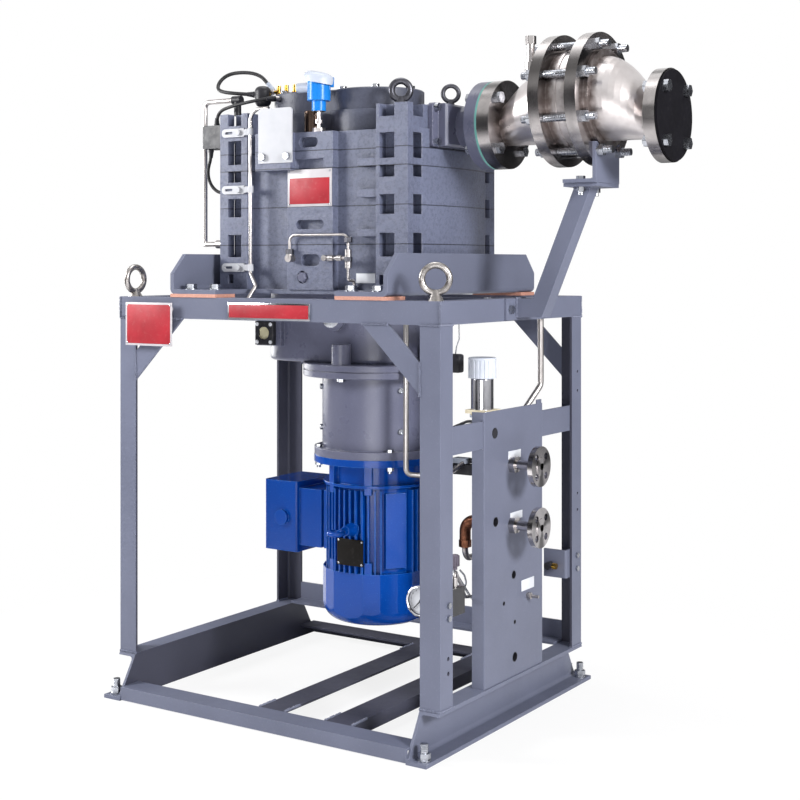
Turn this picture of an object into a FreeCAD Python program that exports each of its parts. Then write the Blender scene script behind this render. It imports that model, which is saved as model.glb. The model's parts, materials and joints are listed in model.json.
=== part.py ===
import FreeCAD, Part
import math
import os
from FreeCAD import Vector as V

os.makedirs("parts", exist_ok=True)

# Frame sizes
FRAME_W = 900.0
FRAME_D = 660.0
FRAME_TOP = 950.0
CHANNEL_H = 100.0
CHANNEL_B = 50.0
CHANNEL_WEB = 6.0
CHANNEL_FLANGE = 8.5
CHANNEL_LEN = 770.0
ROOT_R = 8.5
ANGLE = 50.0
ANGLE_T = 6.0
ANGLE_R = 6.0
BASE_TOP = 32.0
BASE_FOOT = 2.0
BASE_LEG = 60.0
BASE_T = 5.0
RUNNER_W = 70.0
RUNNER_LEFT_X = -32.0
RUNNER_RIGHT_X = 150.0
BRACE_T = 6.0
HALF_W = FRAME_W / 2
HALF_D = FRAME_D / 2
WEB_X = HALF_W - CHANNEL_B

# Pump body, stacked on the two bracket angles
SEAT_T = 10.0
PAD_T = 8.0
SEAT_TOP = FRAME_TOP + PAD_T + SEAT_T
BODY_X = 15.0
BODY_W = 536.0
BODY_D = 390.0
FACE_BACK = 21.0
COLUMN = 84.0
JOINT_1 = 1072.0
JOINT_2 = 1160.0
JOINT_3 = 1248.0
JOINT_4 = 1289.0
BODY_TOP = 1332.0
COLUMN_TOP = 1386.0
BODY_L = BODY_X - BODY_W / 2
BODY_R = BODY_X + BODY_W / 2
FRONT = -BODY_D / 2
SIDE_BULGE = 14.0

# Rotor pair: two parallel upright shafts
DRIVE_X = 100.0
SHAFT_SPACING = 170.0
SHAFT_Y = -40.0
DRIVEN_X = DRIVE_X - SHAFT_SPACING
ROTOR_R = 106.0
BORE_CLEAR = 2.0
BORE_R = ROTOR_R + BORE_CLEAR
MESH_CLEAR = 0.8
CLAW_T = 62.0
AXIAL_CLEAR = 1.0
SHAFT_R = 22.0
SHAFT_FIT = 0.05
HOLE_CLEAR = 0.6

# Gearbox under the body and its timing gears
GEARBOX_R = 118.5
GEARBOX_WALL = 13.0
GEARBOX_BOTTOM = 798.0
GEARBOX_TOP = FRAME_TOP + PAD_T
BELL_R = 176.0
BELL_T = 31.0
BELL_EAR_R = 24.0
BELL_EAR_H = 44.0
GEAR_TEETH = 34
GEAR_FACE = 36.0
GEAR_Z = 868.0
GEAR_BACKLASH = 0.5

# Coupling and motor
HOUSING_R = 131.0
HOUSING_WALL = 8.0
HOUSING_BOTTOM = 582.0
MOTOR_FLANGE_R = 150.0
MOTOR_FLANGE_T = 16.0
MOTOR_R = 128.0
MOTOR_TUBE_R = 112.0
NECK_R = 115.0
MOTOR_BORE_R = 98.0
RIB_TOP = 515.0
RIB_BOTTOM = 320.0
RIB_T = 4.0
COWL_BOTTOM = 196.0
COWL_T = 2.5
MOTOR_SHAFT_R = 19.0

# Pipe line on the right: bores, flanges and the eccentric arrester
PIPE_Z = 1342.0
HOUSING_Z = 1386.0
DN80_R = 100.0
DN80_PCD = 160.0
DN80_HOLE = 9.0
PIPE_BORE = 40.0
PIPE_R = 48.0
BIG_R = 145.0
BIG_PCD = 246.0
BIG_COUNT = 8
PLATE_T = 12.0
BLOCK_T = 23.0
NECK_LEN = 51.0
FLANGE_T = 28.0
GASKET_T = 5.0
INLET_FLANGE_T = 30.0
CONE_LEN = 121.0
BIG_T = 26.0
ELEMENT_LEN = 61.0
DOME_LEN = 132.0
END_T = 26.0
PLATE_END = BODY_R + PLATE_T
BLOCK_END = PLATE_END + BLOCK_T
FLANGE_A = BLOCK_END + NECK_LEN
FLANGE_B = FLANGE_A + FLANGE_T
FLANGE_C = FLANGE_B + GASKET_T + INLET_FLANGE_T
BIG_A = FLANGE_C + CONE_LEN
BIG_B = BIG_A + BIG_T
BIG_C = BIG_B + ELEMENT_LEN
BIG_D = BIG_C + BIG_T
END_A = BIG_D + DOME_LEN
END_B = END_A + END_T
BLANK_T = 5.0
END_HEAD = 12.0

# The model's origin is the middle of the whole outline on the floor
ORIGIN_X = (END_B + BLANK_T + END_HEAD - HALF_W) / 2

# Instrument panel on the right of the frame
PANEL_T = 3.0
PANEL_Y0 = -142.0
PANEL_Y1 = 130.0
PANEL_TOP = 704.0
PANEL_LIP = 31.0
PORT_Y = -18.0
PORT_Z = (578.0, 442.0)
PORT_FACE = 522.0
PORT_R = 45.0
PORT_T = 12.0
PORT_PCD = 60.3
PORT_HOLE = 7.9
PORT_BORE = 7.9
REG_X = 414.0
REG_Y = -93.0
GAUGE_R = 31.5
GAUGE_X = 366.0
GAUGE_INSET = 52.0
GAUGE_Y = -HALF_D + GAUGE_INSET
GAUGE_Z = 310.0


def box(x0, x1, y0, y1, z0, z1):
    return Part.makeBox(x1 - x0, y1 - y0, z1 - z0, V(x0, y0, z0))


def cyl(point, axis, r, length):
    return Part.makeCylinder(r, length, V(*point), V(*axis))


def ring(point, axis, r_out, r_in, length):
    return cyl(point, axis, r_out, length).cut(cyl(point, axis, r_in, length))


def fuse(shapes):
    result = shapes[0]
    if len(shapes) > 1:
        result = shapes[0].multiFuse(shapes[1:])
    return result.removeSplitter()


def cut(shape, tools):
    return shape.cut(fuse(tools)) if tools else shape


def prism(points, direction):
    wire = Part.makePolygon([V(*p) for p in points] + [V(*points[0])])
    return Part.Face(wire).extrude(V(*direction))


def mirror_x(shape, x=0.0):
    return shape.mirror(V(x, 0, 0), V(1, 0, 0))


def mirror_y(shape):
    return shape.mirror(V(0, 0, 0), V(0, 1, 0))


def hexagon(point, axis, across_flats, height):
    r = across_flats / math.sqrt(3)
    corners = [(r * math.cos(math.radians(60 * k + 30)),
                r * math.sin(math.radians(60 * k + 30)), 0) for k in range(6)]
    nut = prism(corners, (0, 0, height))
    top = cyl((0, 0, 0), (0, 0, 1), r * 0.97, height)
    nut = nut.common(top)
    nut.Placement = FreeCAD.Placement(V(*point), FreeCAD.Rotation(V(0, 0, 1), V(*axis)))
    return nut


def hex_screw(point, axis, d, length):
    """Head stands on the point and the shank runs back along the axis."""
    head = hexagon(point, axis, 1.5 * d, 0.64 * d)
    a = V(*axis)
    start = V(*point) - a * length
    return fuse([head, cyl(tuple(start), axis, d / 2, length + 0.3 * d)])


def circle_points(centre, radius, count, first_deg, plane):
    points = []
    for k in range(count):
        a = math.radians(first_deg + 360.0 * k / count)
        u = radius * math.cos(a)
        w = radius * math.sin(a)
        if plane == "xy":
            points.append((centre[0] + u, centre[1] + w, centre[2]))
        else:
            points.append((centre[0], centre[1] + u, centre[2] + w))
    return points


def export(name, shapes):
    if not isinstance(shapes, (list, tuple)):
        shapes = [shapes]
    solids = [s for shape in shapes for s in shape.Solids]
    body = solids[0] if len(solids) == 1 else Part.makeCompound(solids)
    body.translated(V(-ORIGIN_X, 0, 0)).exportStep("parts/%s.step" % name)


# Skid channels, web inboard, with the web cut back to the foot of each flange
def skid_channel():
    x0 = WEB_X
    outline = [(x0, 0), (HALF_W, 0), (HALF_W, CHANNEL_FLANGE),
               (x0 + CHANNEL_WEB, CHANNEL_FLANGE),
               (x0 + CHANNEL_WEB, CHANNEL_H - CHANNEL_FLANGE),
               (HALF_W, CHANNEL_H - CHANNEL_FLANGE), (HALF_W, CHANNEL_H), (x0, CHANNEL_H)]
    half = CHANNEL_LEN / 2
    bar = prism([(x, -half, z) for x, z in outline], (0, CHANNEL_LEN, 0))
    inner = [e for e in bar.Edges
             if abs(e.Vertexes[0].X - x0 - CHANNEL_WEB) < 0.01
             and abs(e.Vertexes[-1].X - x0 - CHANNEL_WEB) < 0.01
             and abs(e.Length - CHANNEL_LEN) < 0.01]
    bar = bar.makeFillet(ROOT_R, inner)
    for s in (-1, 1):
        end = s * (half + 1)
        wedge = prism([(x0 - 1, end, CHANNEL_FLANGE + 4), (x0 - 1, s * (half - 4), CHANNEL_FLANGE + 4),
                       (x0 - 1, s * (half - 47), CHANNEL_H - CHANNEL_FLANGE - 6),
                       (x0 - 1, s * (half - 55), CHANNEL_H + 1), (x0 - 1, end, CHANNEL_H + 1)],
                      (CHANNEL_B + 2, 0, 0))
        bar = bar.cut(wedge)
        bar = bar.cut(box(x0 + CHANNEL_WEB + ROOT_R, HALF_W + 1, min(end, s * (half - 45)),
                          max(end, s * (half - 45)), CHANNEL_FLANGE, CHANNEL_H - 30))
        bar = bar.cut(cyl((FOOT_X, s * FOOT_Y, -1), (0, 0, 1), 9.0, 12.0))
    return bar


FOOT_IN = 19.0
FOOT_END = 23.0
FOOT_X = HALF_W - FOOT_IN
FOOT_Y = CHANNEL_LEN / 2 - FOOT_END
channel_right = skid_channel()
channel_left = mirror_x(channel_right)
export("channel_right", channel_right)
export("channel_left", channel_left)

# Foot bolts: stud, nut and two washers in each flange hole
feet = []
for sx in (-1, 1):
    for sy in (-1, 1):
        p = (sx * FOOT_X, sy * FOOT_Y)
        stud = cyl((p[0], p[1], 0.5), (0, 0, 1), 8.0, 43.0)
        washer = cyl((p[0], p[1], CHANNEL_FLANGE), (0, 0, 1), 15.0, 3.0)
        nut = hexagon((p[0], p[1], CHANNEL_FLANGE + 3.0), (0, 0, 1), 24.0, 13.0)
        feet.append(fuse([stud, washer, nut]))
export("foot_bolts", feet)


# Base angles between the channels, and the two runners
def base_angle():
    y0 = -CHANNEL_LEN / 2 + 3
    front = prism([(-WEB_X, y0, BASE_FOOT), (-WEB_X, y0 + BASE_T, BASE_FOOT),
                   (-WEB_X, y0 + BASE_T, BASE_TOP - BASE_T),
                   (-WEB_X, y0 + BASE_LEG, BASE_TOP - BASE_T), (-WEB_X, y0 + BASE_LEG, BASE_TOP),
                   (-WEB_X, y0, BASE_TOP)], (2 * WEB_X, 0, 0))
    return front


def runner(x0, leg_side):
    y_in = CHANNEL_LEN / 2 - 3 - BASE_LEG
    leg = x0 if leg_side < 0 else x0 + RUNNER_W - BASE_T
    top = box(x0, x0 + RUNNER_W, -y_in, y_in, BASE_TOP - BASE_T, BASE_TOP)
    return fuse([top, box(leg, leg + BASE_T, -y_in, y_in, BASE_FOOT, BASE_TOP)])


# Angle posts on the channels and mitred angle rails round the top
def angle_post(sx, sy):
    bar = prism([(HALF_W, -HALF_D, CHANNEL_H), (HALF_W, -HALF_D + ANGLE, CHANNEL_H),
                 (HALF_W - ANGLE_T, -HALF_D + ANGLE, CHANNEL_H),
                 (HALF_W - ANGLE_T, -HALF_D + ANGLE_T, CHANNEL_H),
                 (HALF_W - ANGLE, -HALF_D + ANGLE_T, CHANNEL_H),
                 (HALF_W - ANGLE, -HALF_D, CHANNEL_H)], (0, 0, FRAME_TOP - ANGLE - CHANNEL_H))
    root = [e for e in bar.Edges if abs(e.CenterOfMass.x - HALF_W + ANGLE_T) < 0.01
            and abs(e.CenterOfMass.y + HALF_D - ANGLE_T) < 0.01]
    bar = bar.makeFillet(ANGLE_R, root)
    if sx < 0:
        bar = mirror_x(bar)
    if sy > 0:
        bar = mirror_y(bar)
    return bar


def top_rail(half_long, half_wide):
    """Front rail of a rectangle; the mitre keeps its ends clear of the next rail."""
    z0 = FRAME_TOP - ANGLE
    bar = prism([(-half_long, -half_wide, z0), (-half_long, -half_wide + ANGLE_T, z0),
                 (-half_long, -half_wide + ANGLE_T, FRAME_TOP - ANGLE_T),
                 (-half_long, -half_wide + ANGLE, FRAME_TOP - ANGLE_T),
                 (-half_long, -half_wide + ANGLE, FRAME_TOP), (-half_long, -half_wide, FRAME_TOP)],
                (2 * half_long, 0, 0))
    root = [e for e in bar.Edges if abs(e.CenterOfMass.y + half_wide - ANGLE_T) < 0.01
            and abs(e.CenterOfMass.z - FRAME_TOP + ANGLE_T) < 0.01]
    bar = bar.makeFillet(ANGLE_R, root)
    plan = prism([(-half_long, -half_wide, z0), (half_long, -half_wide, z0),
                  (half_long - ANGLE - 10, -half_wide + ANGLE + 10, z0),
                  (-half_long + ANGLE + 10, -half_wide + ANGLE + 10, z0)], (0, 0, ANGLE))
    return bar.common(plan)


front_rail = top_rail(HALF_W, HALF_D)
side_rail = top_rail(HALF_D, HALF_W)
side_rail.rotate(V(0, 0, 0), V(0, 0, 1), 90)

# Rear tie and the holes that the panel and brackets use
tie = prism([(-WEB_X, HALF_D, CHANNEL_H), (-WEB_X, HALF_D - ANGLE, CHANNEL_H),
             (-WEB_X, HALF_D - ANGLE, CHANNEL_H + ANGLE_T),
             (-WEB_X, HALF_D - ANGLE_T, CHANNEL_H + ANGLE_T),
             (-WEB_X, HALF_D - ANGLE_T, CHANNEL_H + ANGLE), (-WEB_X, HALF_D, CHANNEL_H + ANGLE)],
            (2 * WEB_X, 0, 0))
base_front = base_angle()
export("base_members", [base_front, mirror_y(base_front), runner(RUNNER_LEFT_X, -1),
                        runner(RUNNER_RIGHT_X, 1), tie])

POST_HOLES = (174.0, 205.0)
BLOCK_HOLES = (289.0, 316.0)
BAR_Z = (625.0, 685.0)
BRACKET_Y = HALF_D - 70.0
BRACKET_LEG = 60.0
BRACKET_Z = (270.0, 337.0)
BRACKET_BOLTS = (288.0, 320.0)
BRACKET_BOLT_Y = HALF_D - 25.0


def with_side_holes(post, y, heights, r):
    return cut(post, [cyl((HALF_W - 10, y, z), (1, 0, 0), r, 20.0) for z in heights])


post_fr = with_side_holes(angle_post(1, -1), -HALF_D + 32, POST_HOLES, 4.5)
post_fr = with_side_holes(post_fr, -HALF_D + 32, BLOCK_HOLES, 4.2)
post_rr = with_side_holes(angle_post(1, 1), HALF_D - 20, (766.0, 720.0, 470.0, 430.0), 3.5)
post_rr = with_side_holes(post_rr, BRACKET_BOLT_Y, BRACKET_BOLTS, 4.2)
export("corner_posts", [post_fr, angle_post(-1, -1), post_rr, angle_post(-1, 1)])

# Flat corner braces, the flat bar that carries the panel and the angle on the rear post
z_rail = FRAME_TOP - ANGLE
brace_r = prism([(253, -HALF_D, z_rail), (320, -HALF_D, z_rail), (WEB_X, -HALF_D, z_rail - 80),
                 (WEB_X, -HALF_D, z_rail - 147)], (0, BRACE_T, 0))
brace_l = mirror_x(brace_r)
BAR_X = HALF_W - ANGLE_T - BRACE_T
bar_end = HALF_D - ANGLE_T - ANGLE_R
bar = box(BAR_X, BAR_X + BRACE_T, -bar_end, bar_end, *BAR_Z)
rear_angle = fuse([box(HALF_W - ANGLE_T - BRACKET_LEG, BAR_X + BRACE_T, BRACKET_Y, BRACKET_Y + BRACE_T,
                       *BRACKET_Z),
                   box(BAR_X, BAR_X + BRACE_T, BRACKET_Y, bar_end, *BRACKET_Z)])
rear_angle = rear_angle.makeFillet(5.0, [e for e in rear_angle.Edges
                                         if abs(e.CenterOfMass.x - BAR_X - BRACE_T) < 0.01
                                         and abs(e.CenterOfMass.y - BRACKET_Y) < 0.01])
rear_angle = cut(rear_angle, [cyl((BAR_X - 1, BRACKET_BOLT_Y, z), (1, 0, 0), 4.2, 10.0)
                              for z in BRACKET_BOLTS])
export("frame_flats", [brace_r, brace_l, mirror_y(brace_r), mirror_y(brace_l), bar, rear_angle])


# Pump brackets: two bent angles across the rails, on four pads
def pump_bracket(outer, inner, side):
    leg_top = 1051.0
    run = FRAME_D + 4
    t = SEAT_T
    z0 = FRAME_TOP + PAD_T
    y0 = -HALF_D - 2
    pts = [(outer, z0), (inner, z0), (inner, z0 + t), (outer - side * t, z0 + t),
           (outer - side * t, leg_top), (outer, leg_top)]
    bar = prism([(x, y0, z) for x, z in pts], (0, run, 0))
    root = [e for e in bar.Edges if abs(e.CenterOfMass.x - outer + side * t) < 0.01
            and abs(e.CenterOfMass.z - z0 - t) < 0.01]
    heel = [e for e in bar.Edges if abs(e.CenterOfMass.x - outer) < 0.01
            and abs(e.CenterOfMass.z - z0) < 0.01 and e.Length > 500]
    bar = bar.makeFillet(9.0, root)
    heel = [e for e in bar.Edges if abs(e.CenterOfMass.x - outer) < 0.01
            and abs(e.CenterOfMass.z - z0) < 0.01 and e.Length > 500]
    bar = bar.makeFillet(12.0, heel)
    for s in (-1, 1):
        y_end = s * (HALF_D + 3)
        chamfer = prism([(outer - 30, y_end, leg_top + 1), (outer - 30, s * (HALF_D - 42), leg_top + 1),
                         (outer - 30, y_end, 1004.0)], (60, 0, 0))
        bar = bar.cut(chamfer)
    return bar


BRACKET_IN = (-152.0, 183.0)
BRACKET_OUT = (-289.0, 320.0)
PAD_D = 70.0
bracket_left = pump_bracket(BRACKET_OUT[0], BRACKET_IN[0], -1)
bracket_right = pump_bracket(BRACKET_OUT[1], BRACKET_IN[1], 1)
pads = []
screws = []
holes = []
for x_in, x_out in zip(BRACKET_IN, BRACKET_OUT):
    for s in (-1, 1):
        edge = s * (HALF_D + 2)
        y0, y1 = sorted((edge, edge - s * PAD_D))
        x0, x1 = sorted((x_in, x_out))
        pads.append(box(x0, x1, y0, y1, FRAME_TOP, FRAME_TOP + PAD_T))
        for x in (x0 + (39.0 if x_in < 0 else 24.0), x1 - (24.0 if x_in < 0 else 43.0)):
            y = s * (HALF_D - 27)
            holes.append(cyl((x, y, FRAME_TOP - 20), (0, 0, 1), 8.0 + HOLE_CLEAR, 60.0))
            washer = cyl((x, y, SEAT_TOP), (0, 0, 1), 15.0, 2.5)
            screws.append(fuse([washer, hex_screw((x, y, SEAT_TOP + 2.5), (0, 0, 1), 16.0, 34.0),
                                hexagon((x, y, FRAME_TOP - ANGLE_T - 13), (0, 0, 1), 24.0, 13.0)]))
pads = [cut(p, holes) for p in pads]
bracket_left = cut(bracket_left, holes)
bracket_right = cut(bracket_right, holes)
front_rail_cut = cut(front_rail, holes)
rear_rail_cut = cut(mirror_y(front_rail), holes)
EYE_XY = (424.0, 306.0)
eye_holes = [cyl((sx * EYE_XY[0], -EYE_XY[1], FRAME_TOP - 20), (0, 0, 1), 8.6, 40.0) for sx in (-1, 1)]
front_rail_cut = cut(front_rail_cut, eye_holes)
right_rail = cut(side_rail, eye_holes)
left_rail = cut(mirror_x(side_rail), eye_holes)
export("rails_long", [front_rail_cut, rear_rail_cut])
export("pump_brackets", [bracket_left, bracket_right])
export("isolation_pads", pads)


# Lifting eyes: forged ring on a collar and shank
def eye_bolt(point, ring_r, wire_r, collar_r, lift, turn_deg, shank):
    torus = Part.makeTorus(ring_r, wire_r, V(0, 0, 0), V(0, 1, 0))
    torus.translate(V(0, 0, lift + ring_r))
    neck = Part.makeCone(collar_r, wire_r * 0.9, lift + wire_r, V(0, 0, 0), V(0, 0, 1))
    hole = Part.makeTorus(ring_r - wire_r * 0.5, wire_r * 0.5, V(0, 0, lift + ring_r), V(0, 1, 0))
    parts = [torus, neck.cut(hole)]
    if shank > 0:
        parts.append(cyl((0, 0, -shank), (0, 0, 1), collar_r * 0.45, shank))
    eye = fuse(parts)
    eye.rotate(V(0, 0, 0), V(0, 0, 1), turn_deg)
    eye.translate(V(*point))
    return eye


frame_eyes = [eye_bolt((EYE_XY[0], -EYE_XY[1], FRAME_TOP), 29.0, 7.0, 17.0, 17.0, 33.0, 15.0),
              eye_bolt((-EYE_XY[0], -EYE_XY[1], FRAME_TOP), 29.0, 7.0, 17.0, 12.0, 90.0, 15.0)]
export("frame_eyebolts", frame_eyes)


# Pump stack: one outline with bulged flanks, cut by the column pockets
def body_outline(z0, z1):
    front = FRONT + FACE_BACK
    back = -FRONT - 12
    mid = BODY_X
    fl = V(BODY_L + 6, front, z0)
    fr = V(BODY_R - 6, front, z0)
    br = V(BODY_R - 6, back, z0)
    bl = V(BODY_L + 6, back, z0)
    edges = [Part.LineSegment(fl, fr).toShape(),
             Part.Arc(fr, V(BODY_R + SIDE_BULGE, (front + back) / 2, z0), br).toShape(),
             Part.LineSegment(br, bl).toShape(),
             Part.Arc(bl, V(BODY_L - SIDE_BULGE, (front + back) / 2, z0), fl).toShape()]
    return Part.Face(Part.Wire(edges)).extrude(V(0, 0, z1 - z0))


def columns(z0, z1):
    posts = []
    for x0 in (BODY_L, BODY_R - COLUMN):
        for y0 in (FRONT, -FRONT - COLUMN):
            posts.append(box(x0, x0 + COLUMN, y0, y0 + COLUMN, z0, z1))
    return posts


POCKET_Z = ((1357.0, 1400.0), (1264.0, 1321.0), (1222.0, 1248.0), (1139.0, 1183.0),
            (1044.0, 1097.0), (981.0, 1003.0))
POCKET_W = 40.0
POCKET_DEEP = 27.0


def pockets():
    cuts = []
    for x_side, front_x in ((-1, BODY_L + 25), (1, BODY_R - 25 - POCKET_W - 10)):
        for y_side in (-1, 1):
            for k, (z0, z1) in enumerate(POCKET_Z):
                w = POCKET_W if k < 5 else POCKET_W * 0.4
                y0, y1 = sorted((y_side * (BODY_D / 2 + 1), y_side * (BODY_D / 2 - POCKET_DEEP)))
                cuts.append(box(front_x, front_x + w, y0, y1, z0, z1))
                if k == 5:
                    continue
                face = BODY_R if x_side > 0 else BODY_L
                x0, x1 = sorted((face + x_side, face - x_side * POCKET_DEEP))
                yc = y_side * (BODY_D / 2 - 32 - POCKET_W / 2 + 8)
                cuts.append(box(x0, x1, yc - 21, yc + 21, z0, z1))
    return cuts


POCKETS = fuse(pockets())
PAD_HALF = 65.0
RIB_Z = ((1248.0, 1266.0), (1178.0, 1196.0), (1090.0, 1106.0))


def slot(x0, x1, z0, z1, deep):
    r = (z1 - z0) / 2
    y0 = FRONT - 1
    zc = (z0 + z1) / 2
    return fuse([box(x0 + r, x1 - r, y0, y0 + deep + 1, z0, z1),
                 cyl((x0 + r, y0, zc), (0, 1, 0), r, deep + 1),
                 cyl((x1 - r, y0, zc), (0, 1, 0), r, deep + 1)])


PLUG_HOLE_X = -6.0
PLUG_HOLE_Z = 997.0
PLUG_HOLE_DEEP = 13.0
SLOTS = [slot(-16, 38, 1297, 1320, 17), slot(-25, 55, 1108, 1129, 17), slot(-10, 44, 1023, 1050, 17),
         box(-26, 54, FRONT - 1, FRONT + 12, 1243, 1270),
         cyl((PLUG_HOLE_X, FRONT - 1, PLUG_HOLE_Z), (0, 1, 0), 15.0, PLUG_HOLE_DEEP + 1)]


def stage_block(z0, z1):
    pad = box(BODY_X - PAD_HALF, BODY_X + PAD_HALF, FRONT, FRONT + FACE_BACK + 5, z0, z1)
    ribs = []
    for r0, r1 in RIB_Z:
        low, high = max(r0, z0), min(r1, z1)
        if high > low + 1:
            ribs.append(box(BODY_R - COLUMN - 52, BODY_R - COLUMN + 1, FRONT + 3, FRONT + FACE_BACK + 5,
                            low, high))
    block = fuse([body_outline(z0, z1), pad] + ribs + columns(z0, z1))
    return cut(block.cut(POCKETS), SLOTS)


def shaft_axes():
    return ((DRIVE_X, SHAFT_Y), (DRIVEN_X, SHAFT_Y))


def twin(r, z0, z1):
    return fuse([cyl((x, y, z0), (0, 0, 1), r, z1 - z0) for x, y in shaft_axes()])


def twin_hull(r, z0, z1):
    web = box(DRIVEN_X, DRIVE_X, SHAFT_Y - r, SHAFT_Y + r, z0, z1)
    return fuse([twin(r, z0, z1), web])


BEARING_R = 40.0
BEARING_H = 23.0
FOOT_PLATE_Y = BODY_D / 2 - 5.0
SILENCER = [box(BODY_X - 160, BODY_X + 160, 82, 165, z0, z1)
            for z0, z1 in ((JOINT_1 + 14, JOINT_2 - 14), (JOINT_2 + 14, JOINT_3 - 14))]

# Bottom plate of the stack carries the lower bearings over the gearbox
base_stage = stage_block(SEAT_TOP, JOINT_1)
spigot = box(BRACKET_IN[0] + 0.5, BRACKET_IN[1] - 0.5, -FOOT_PLATE_Y, FOOT_PLATE_Y, GEARBOX_TOP, SEAT_TOP)
base_stage = fuse([base_stage, spigot])
base_stage = cut(base_stage, [twin(BEARING_R, GEARBOX_TOP - 1, GEARBOX_TOP + BEARING_H),
                              twin(SHAFT_R + 0.5, GEARBOX_TOP, JOINT_1 + 1),
                              twin_hull(BORE_R, JOINT_1 - CLAW_T - 2 * AXIAL_CLEAR, JOINT_1 + 1)
                              .common(twin(BORE_R, 0, 2000))])
export("base_stage", base_stage)

# Two pumping stages: figure-of-eight bores over a floor with shaft holes
stages = []
for z0, z1 in ((JOINT_1, JOINT_2), (JOINT_2, JOINT_3)):
    block = stage_block(z0, z1)
    stages.append(cut(block, [twin(BORE_R, z1 - CLAW_T - 2 * AXIAL_CLEAR, z1 + 1),
                              twin(SHAFT_R + 0.5, z0 - 1, z1 + 1)]
                      + [s for s in SILENCER if z0 < s.BoundBox.ZMin < z1]))
export("lower_stage", stages[0])
export("upper_stage", stages[1])

inlet_plate = stage_block(JOINT_3, JOINT_4)
inlet_plate = cut(inlet_plate, [twin(SHAFT_R + 0.5, JOINT_3 - 1, JOINT_4 + 1)])
export("inlet_plate", inlet_plate)

# Head casting with the four tall columns, the bearing bores and the inlet port
head = stage_block(JOINT_4, BODY_TOP)
inlet_block = box(BODY_R - 62, BODY_R, -88, 88, BODY_TOP - 1, COLUMN_TOP + 4)
head = fuse([head, inlet_block] + columns(BODY_TOP, COLUMN_TOP)).cut(POCKETS)
flat = box(BODY_R, BODY_R + 30, -112, 112, JOINT_4 + 1, COLUMN_TOP + 10)
head = cut(head, [flat, twin(BEARING_R, BODY_TOP - BEARING_H, BODY_TOP + 1),
                  twin(SHAFT_R + 0.5, JOINT_4 - 1, BODY_TOP + 1),
                  cyl((BODY_R - 55, 0, PIPE_Z), (1, 0, 0), PIPE_BORE, 60.0)])
export("head_casting", head)

# Two-tier cover over the upper bearings
COVER_LOW_R = 116.0
COVER_TOP_R = 110.0
COVER_STEP = 1384.0
COVER_TOP = 1434.0
COVER_CAVITY_R = 70.0
cover = fuse([twin(COVER_LOW_R, BODY_TOP, COVER_STEP), twin(COVER_TOP_R, COVER_STEP, COVER_TOP),
              box(DRIVEN_X, DRIVE_X, SHAFT_Y - 94, SHAFT_Y + 94, BODY_TOP, COVER_TOP)])
COVER_BOLT_R = 92.0
cover_bolts = []
for x, first in ((DRIVE_X, -120), (DRIVEN_X, 60)):
    for k in range(5):
        a = math.radians(first + 60 * k)
        cover_bolts.append((x + COVER_BOLT_R * math.cos(a), SHAFT_Y + COVER_BOLT_R * math.sin(a)))
cover = cut(cover, [twin(COVER_CAVITY_R, BODY_TOP - 1, COVER_TOP - 12)]
            + [cyl((x, y, BODY_TOP - 1), (0, 0, 1), 6.0 + HOLE_CLEAR, 120.0) for x, y in cover_bolts])
rim = [e for e in cover.Edges if abs(e.BoundBox.ZMin - COVER_TOP) < 0.01 and e.BoundBox.ZLength < 0.01]
cover = cover.makeChamfer(2.5, rim)

# Block on the front of the head with its cover plate
BLOCK_X = (-130.0, -27.0)
BLOCK_Z = (1245.0, BODY_TOP)
BLOCK_OUT = 19.0
COVER_PLATE_X = (-119.0, -20.0)
COVER_PLATE_Z = (1262.0, 1390.0)
COVER_PLATE_T = 3.0
front_block = box(BLOCK_X[0], BLOCK_X[1], FRONT - BLOCK_OUT, FRONT + FACE_BACK, *BLOCK_Z)
front_block = front_block.cut(box(BODY_X - PAD_HALF, BODY_X + PAD_HALF, FRONT, 0,
                                  BLOCK_Z[0] - 1, BLOCK_Z[1] + 1))
front_plate = box(COVER_PLATE_X[0], COVER_PLATE_X[1], FRONT - BLOCK_OUT - COVER_PLATE_T, FRONT - BLOCK_OUT,
                  *COVER_PLATE_Z)
corners = [e for e in front_plate.Edges
           if abs(e.Length - COVER_PLATE_T) < 0.01 and e.CenterOfMass.z > BODY_TOP]
front_plate = front_plate.makeFillet(8.0, corners)
export("top_cover", [cover, front_block, front_plate])


# Gearbox: stadium housing on a bell flange, open upwards under the base stage
BELL_BOTTOM = GEARBOX_BOTTOM - BELL_T
BOSS_R = 22.0
BOSS_PCR = 150.0
BOSS_DEGS = (-90.0, 0.0, 90.0)
GLASS_X = -130.0
GLASS_Z = 864.0
GLASS_FACE = SHAFT_Y - GEARBOX_R - 11.5


def on_drive(radius, deg, z):
    a = math.radians(deg)
    return (DRIVE_X + radius * math.cos(a), SHAFT_Y + radius * math.sin(a), z)


gearbox = twin_hull(GEARBOX_R, GEARBOX_BOTTOM, GEARBOX_TOP)
low_rim = [e for e in gearbox.Edges if e.BoundBox.ZMax < GEARBOX_BOTTOM + 0.1]
gearbox = gearbox.makeFillet(9.0, low_rim)
bell = cyl((DRIVE_X, SHAFT_Y, BELL_BOTTOM), (0, 0, 1), BELL_R, BELL_T)
groove = ring((DRIVE_X, SHAFT_Y, BELL_BOTTOM + BELL_T / 2 - 1.5), (0, 0, 1), BELL_R + 1, BELL_R - 3, 3.0)
bell = bell.makeChamfer(2.0, [e for e in bell.Edges if e.BoundBox.ZLength < 0.01]).cut(groove)
glass_pad = box(-160, -88, GLASS_FACE, -110, 834, 905)
plug_seat = cyl((63, -166, 900), (0, 1, 0), 26.0, 40.0)
bosses = [cyl(on_drive(BOSS_PCR, d, GEARBOX_BOTTOM - 1), (0, 0, 1), BOSS_R, 47.0) for d in BOSS_DEGS]
LINE_DEGS = (-36.87, 36.87)
THIN_SEAT_DEG = -126.87
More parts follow.
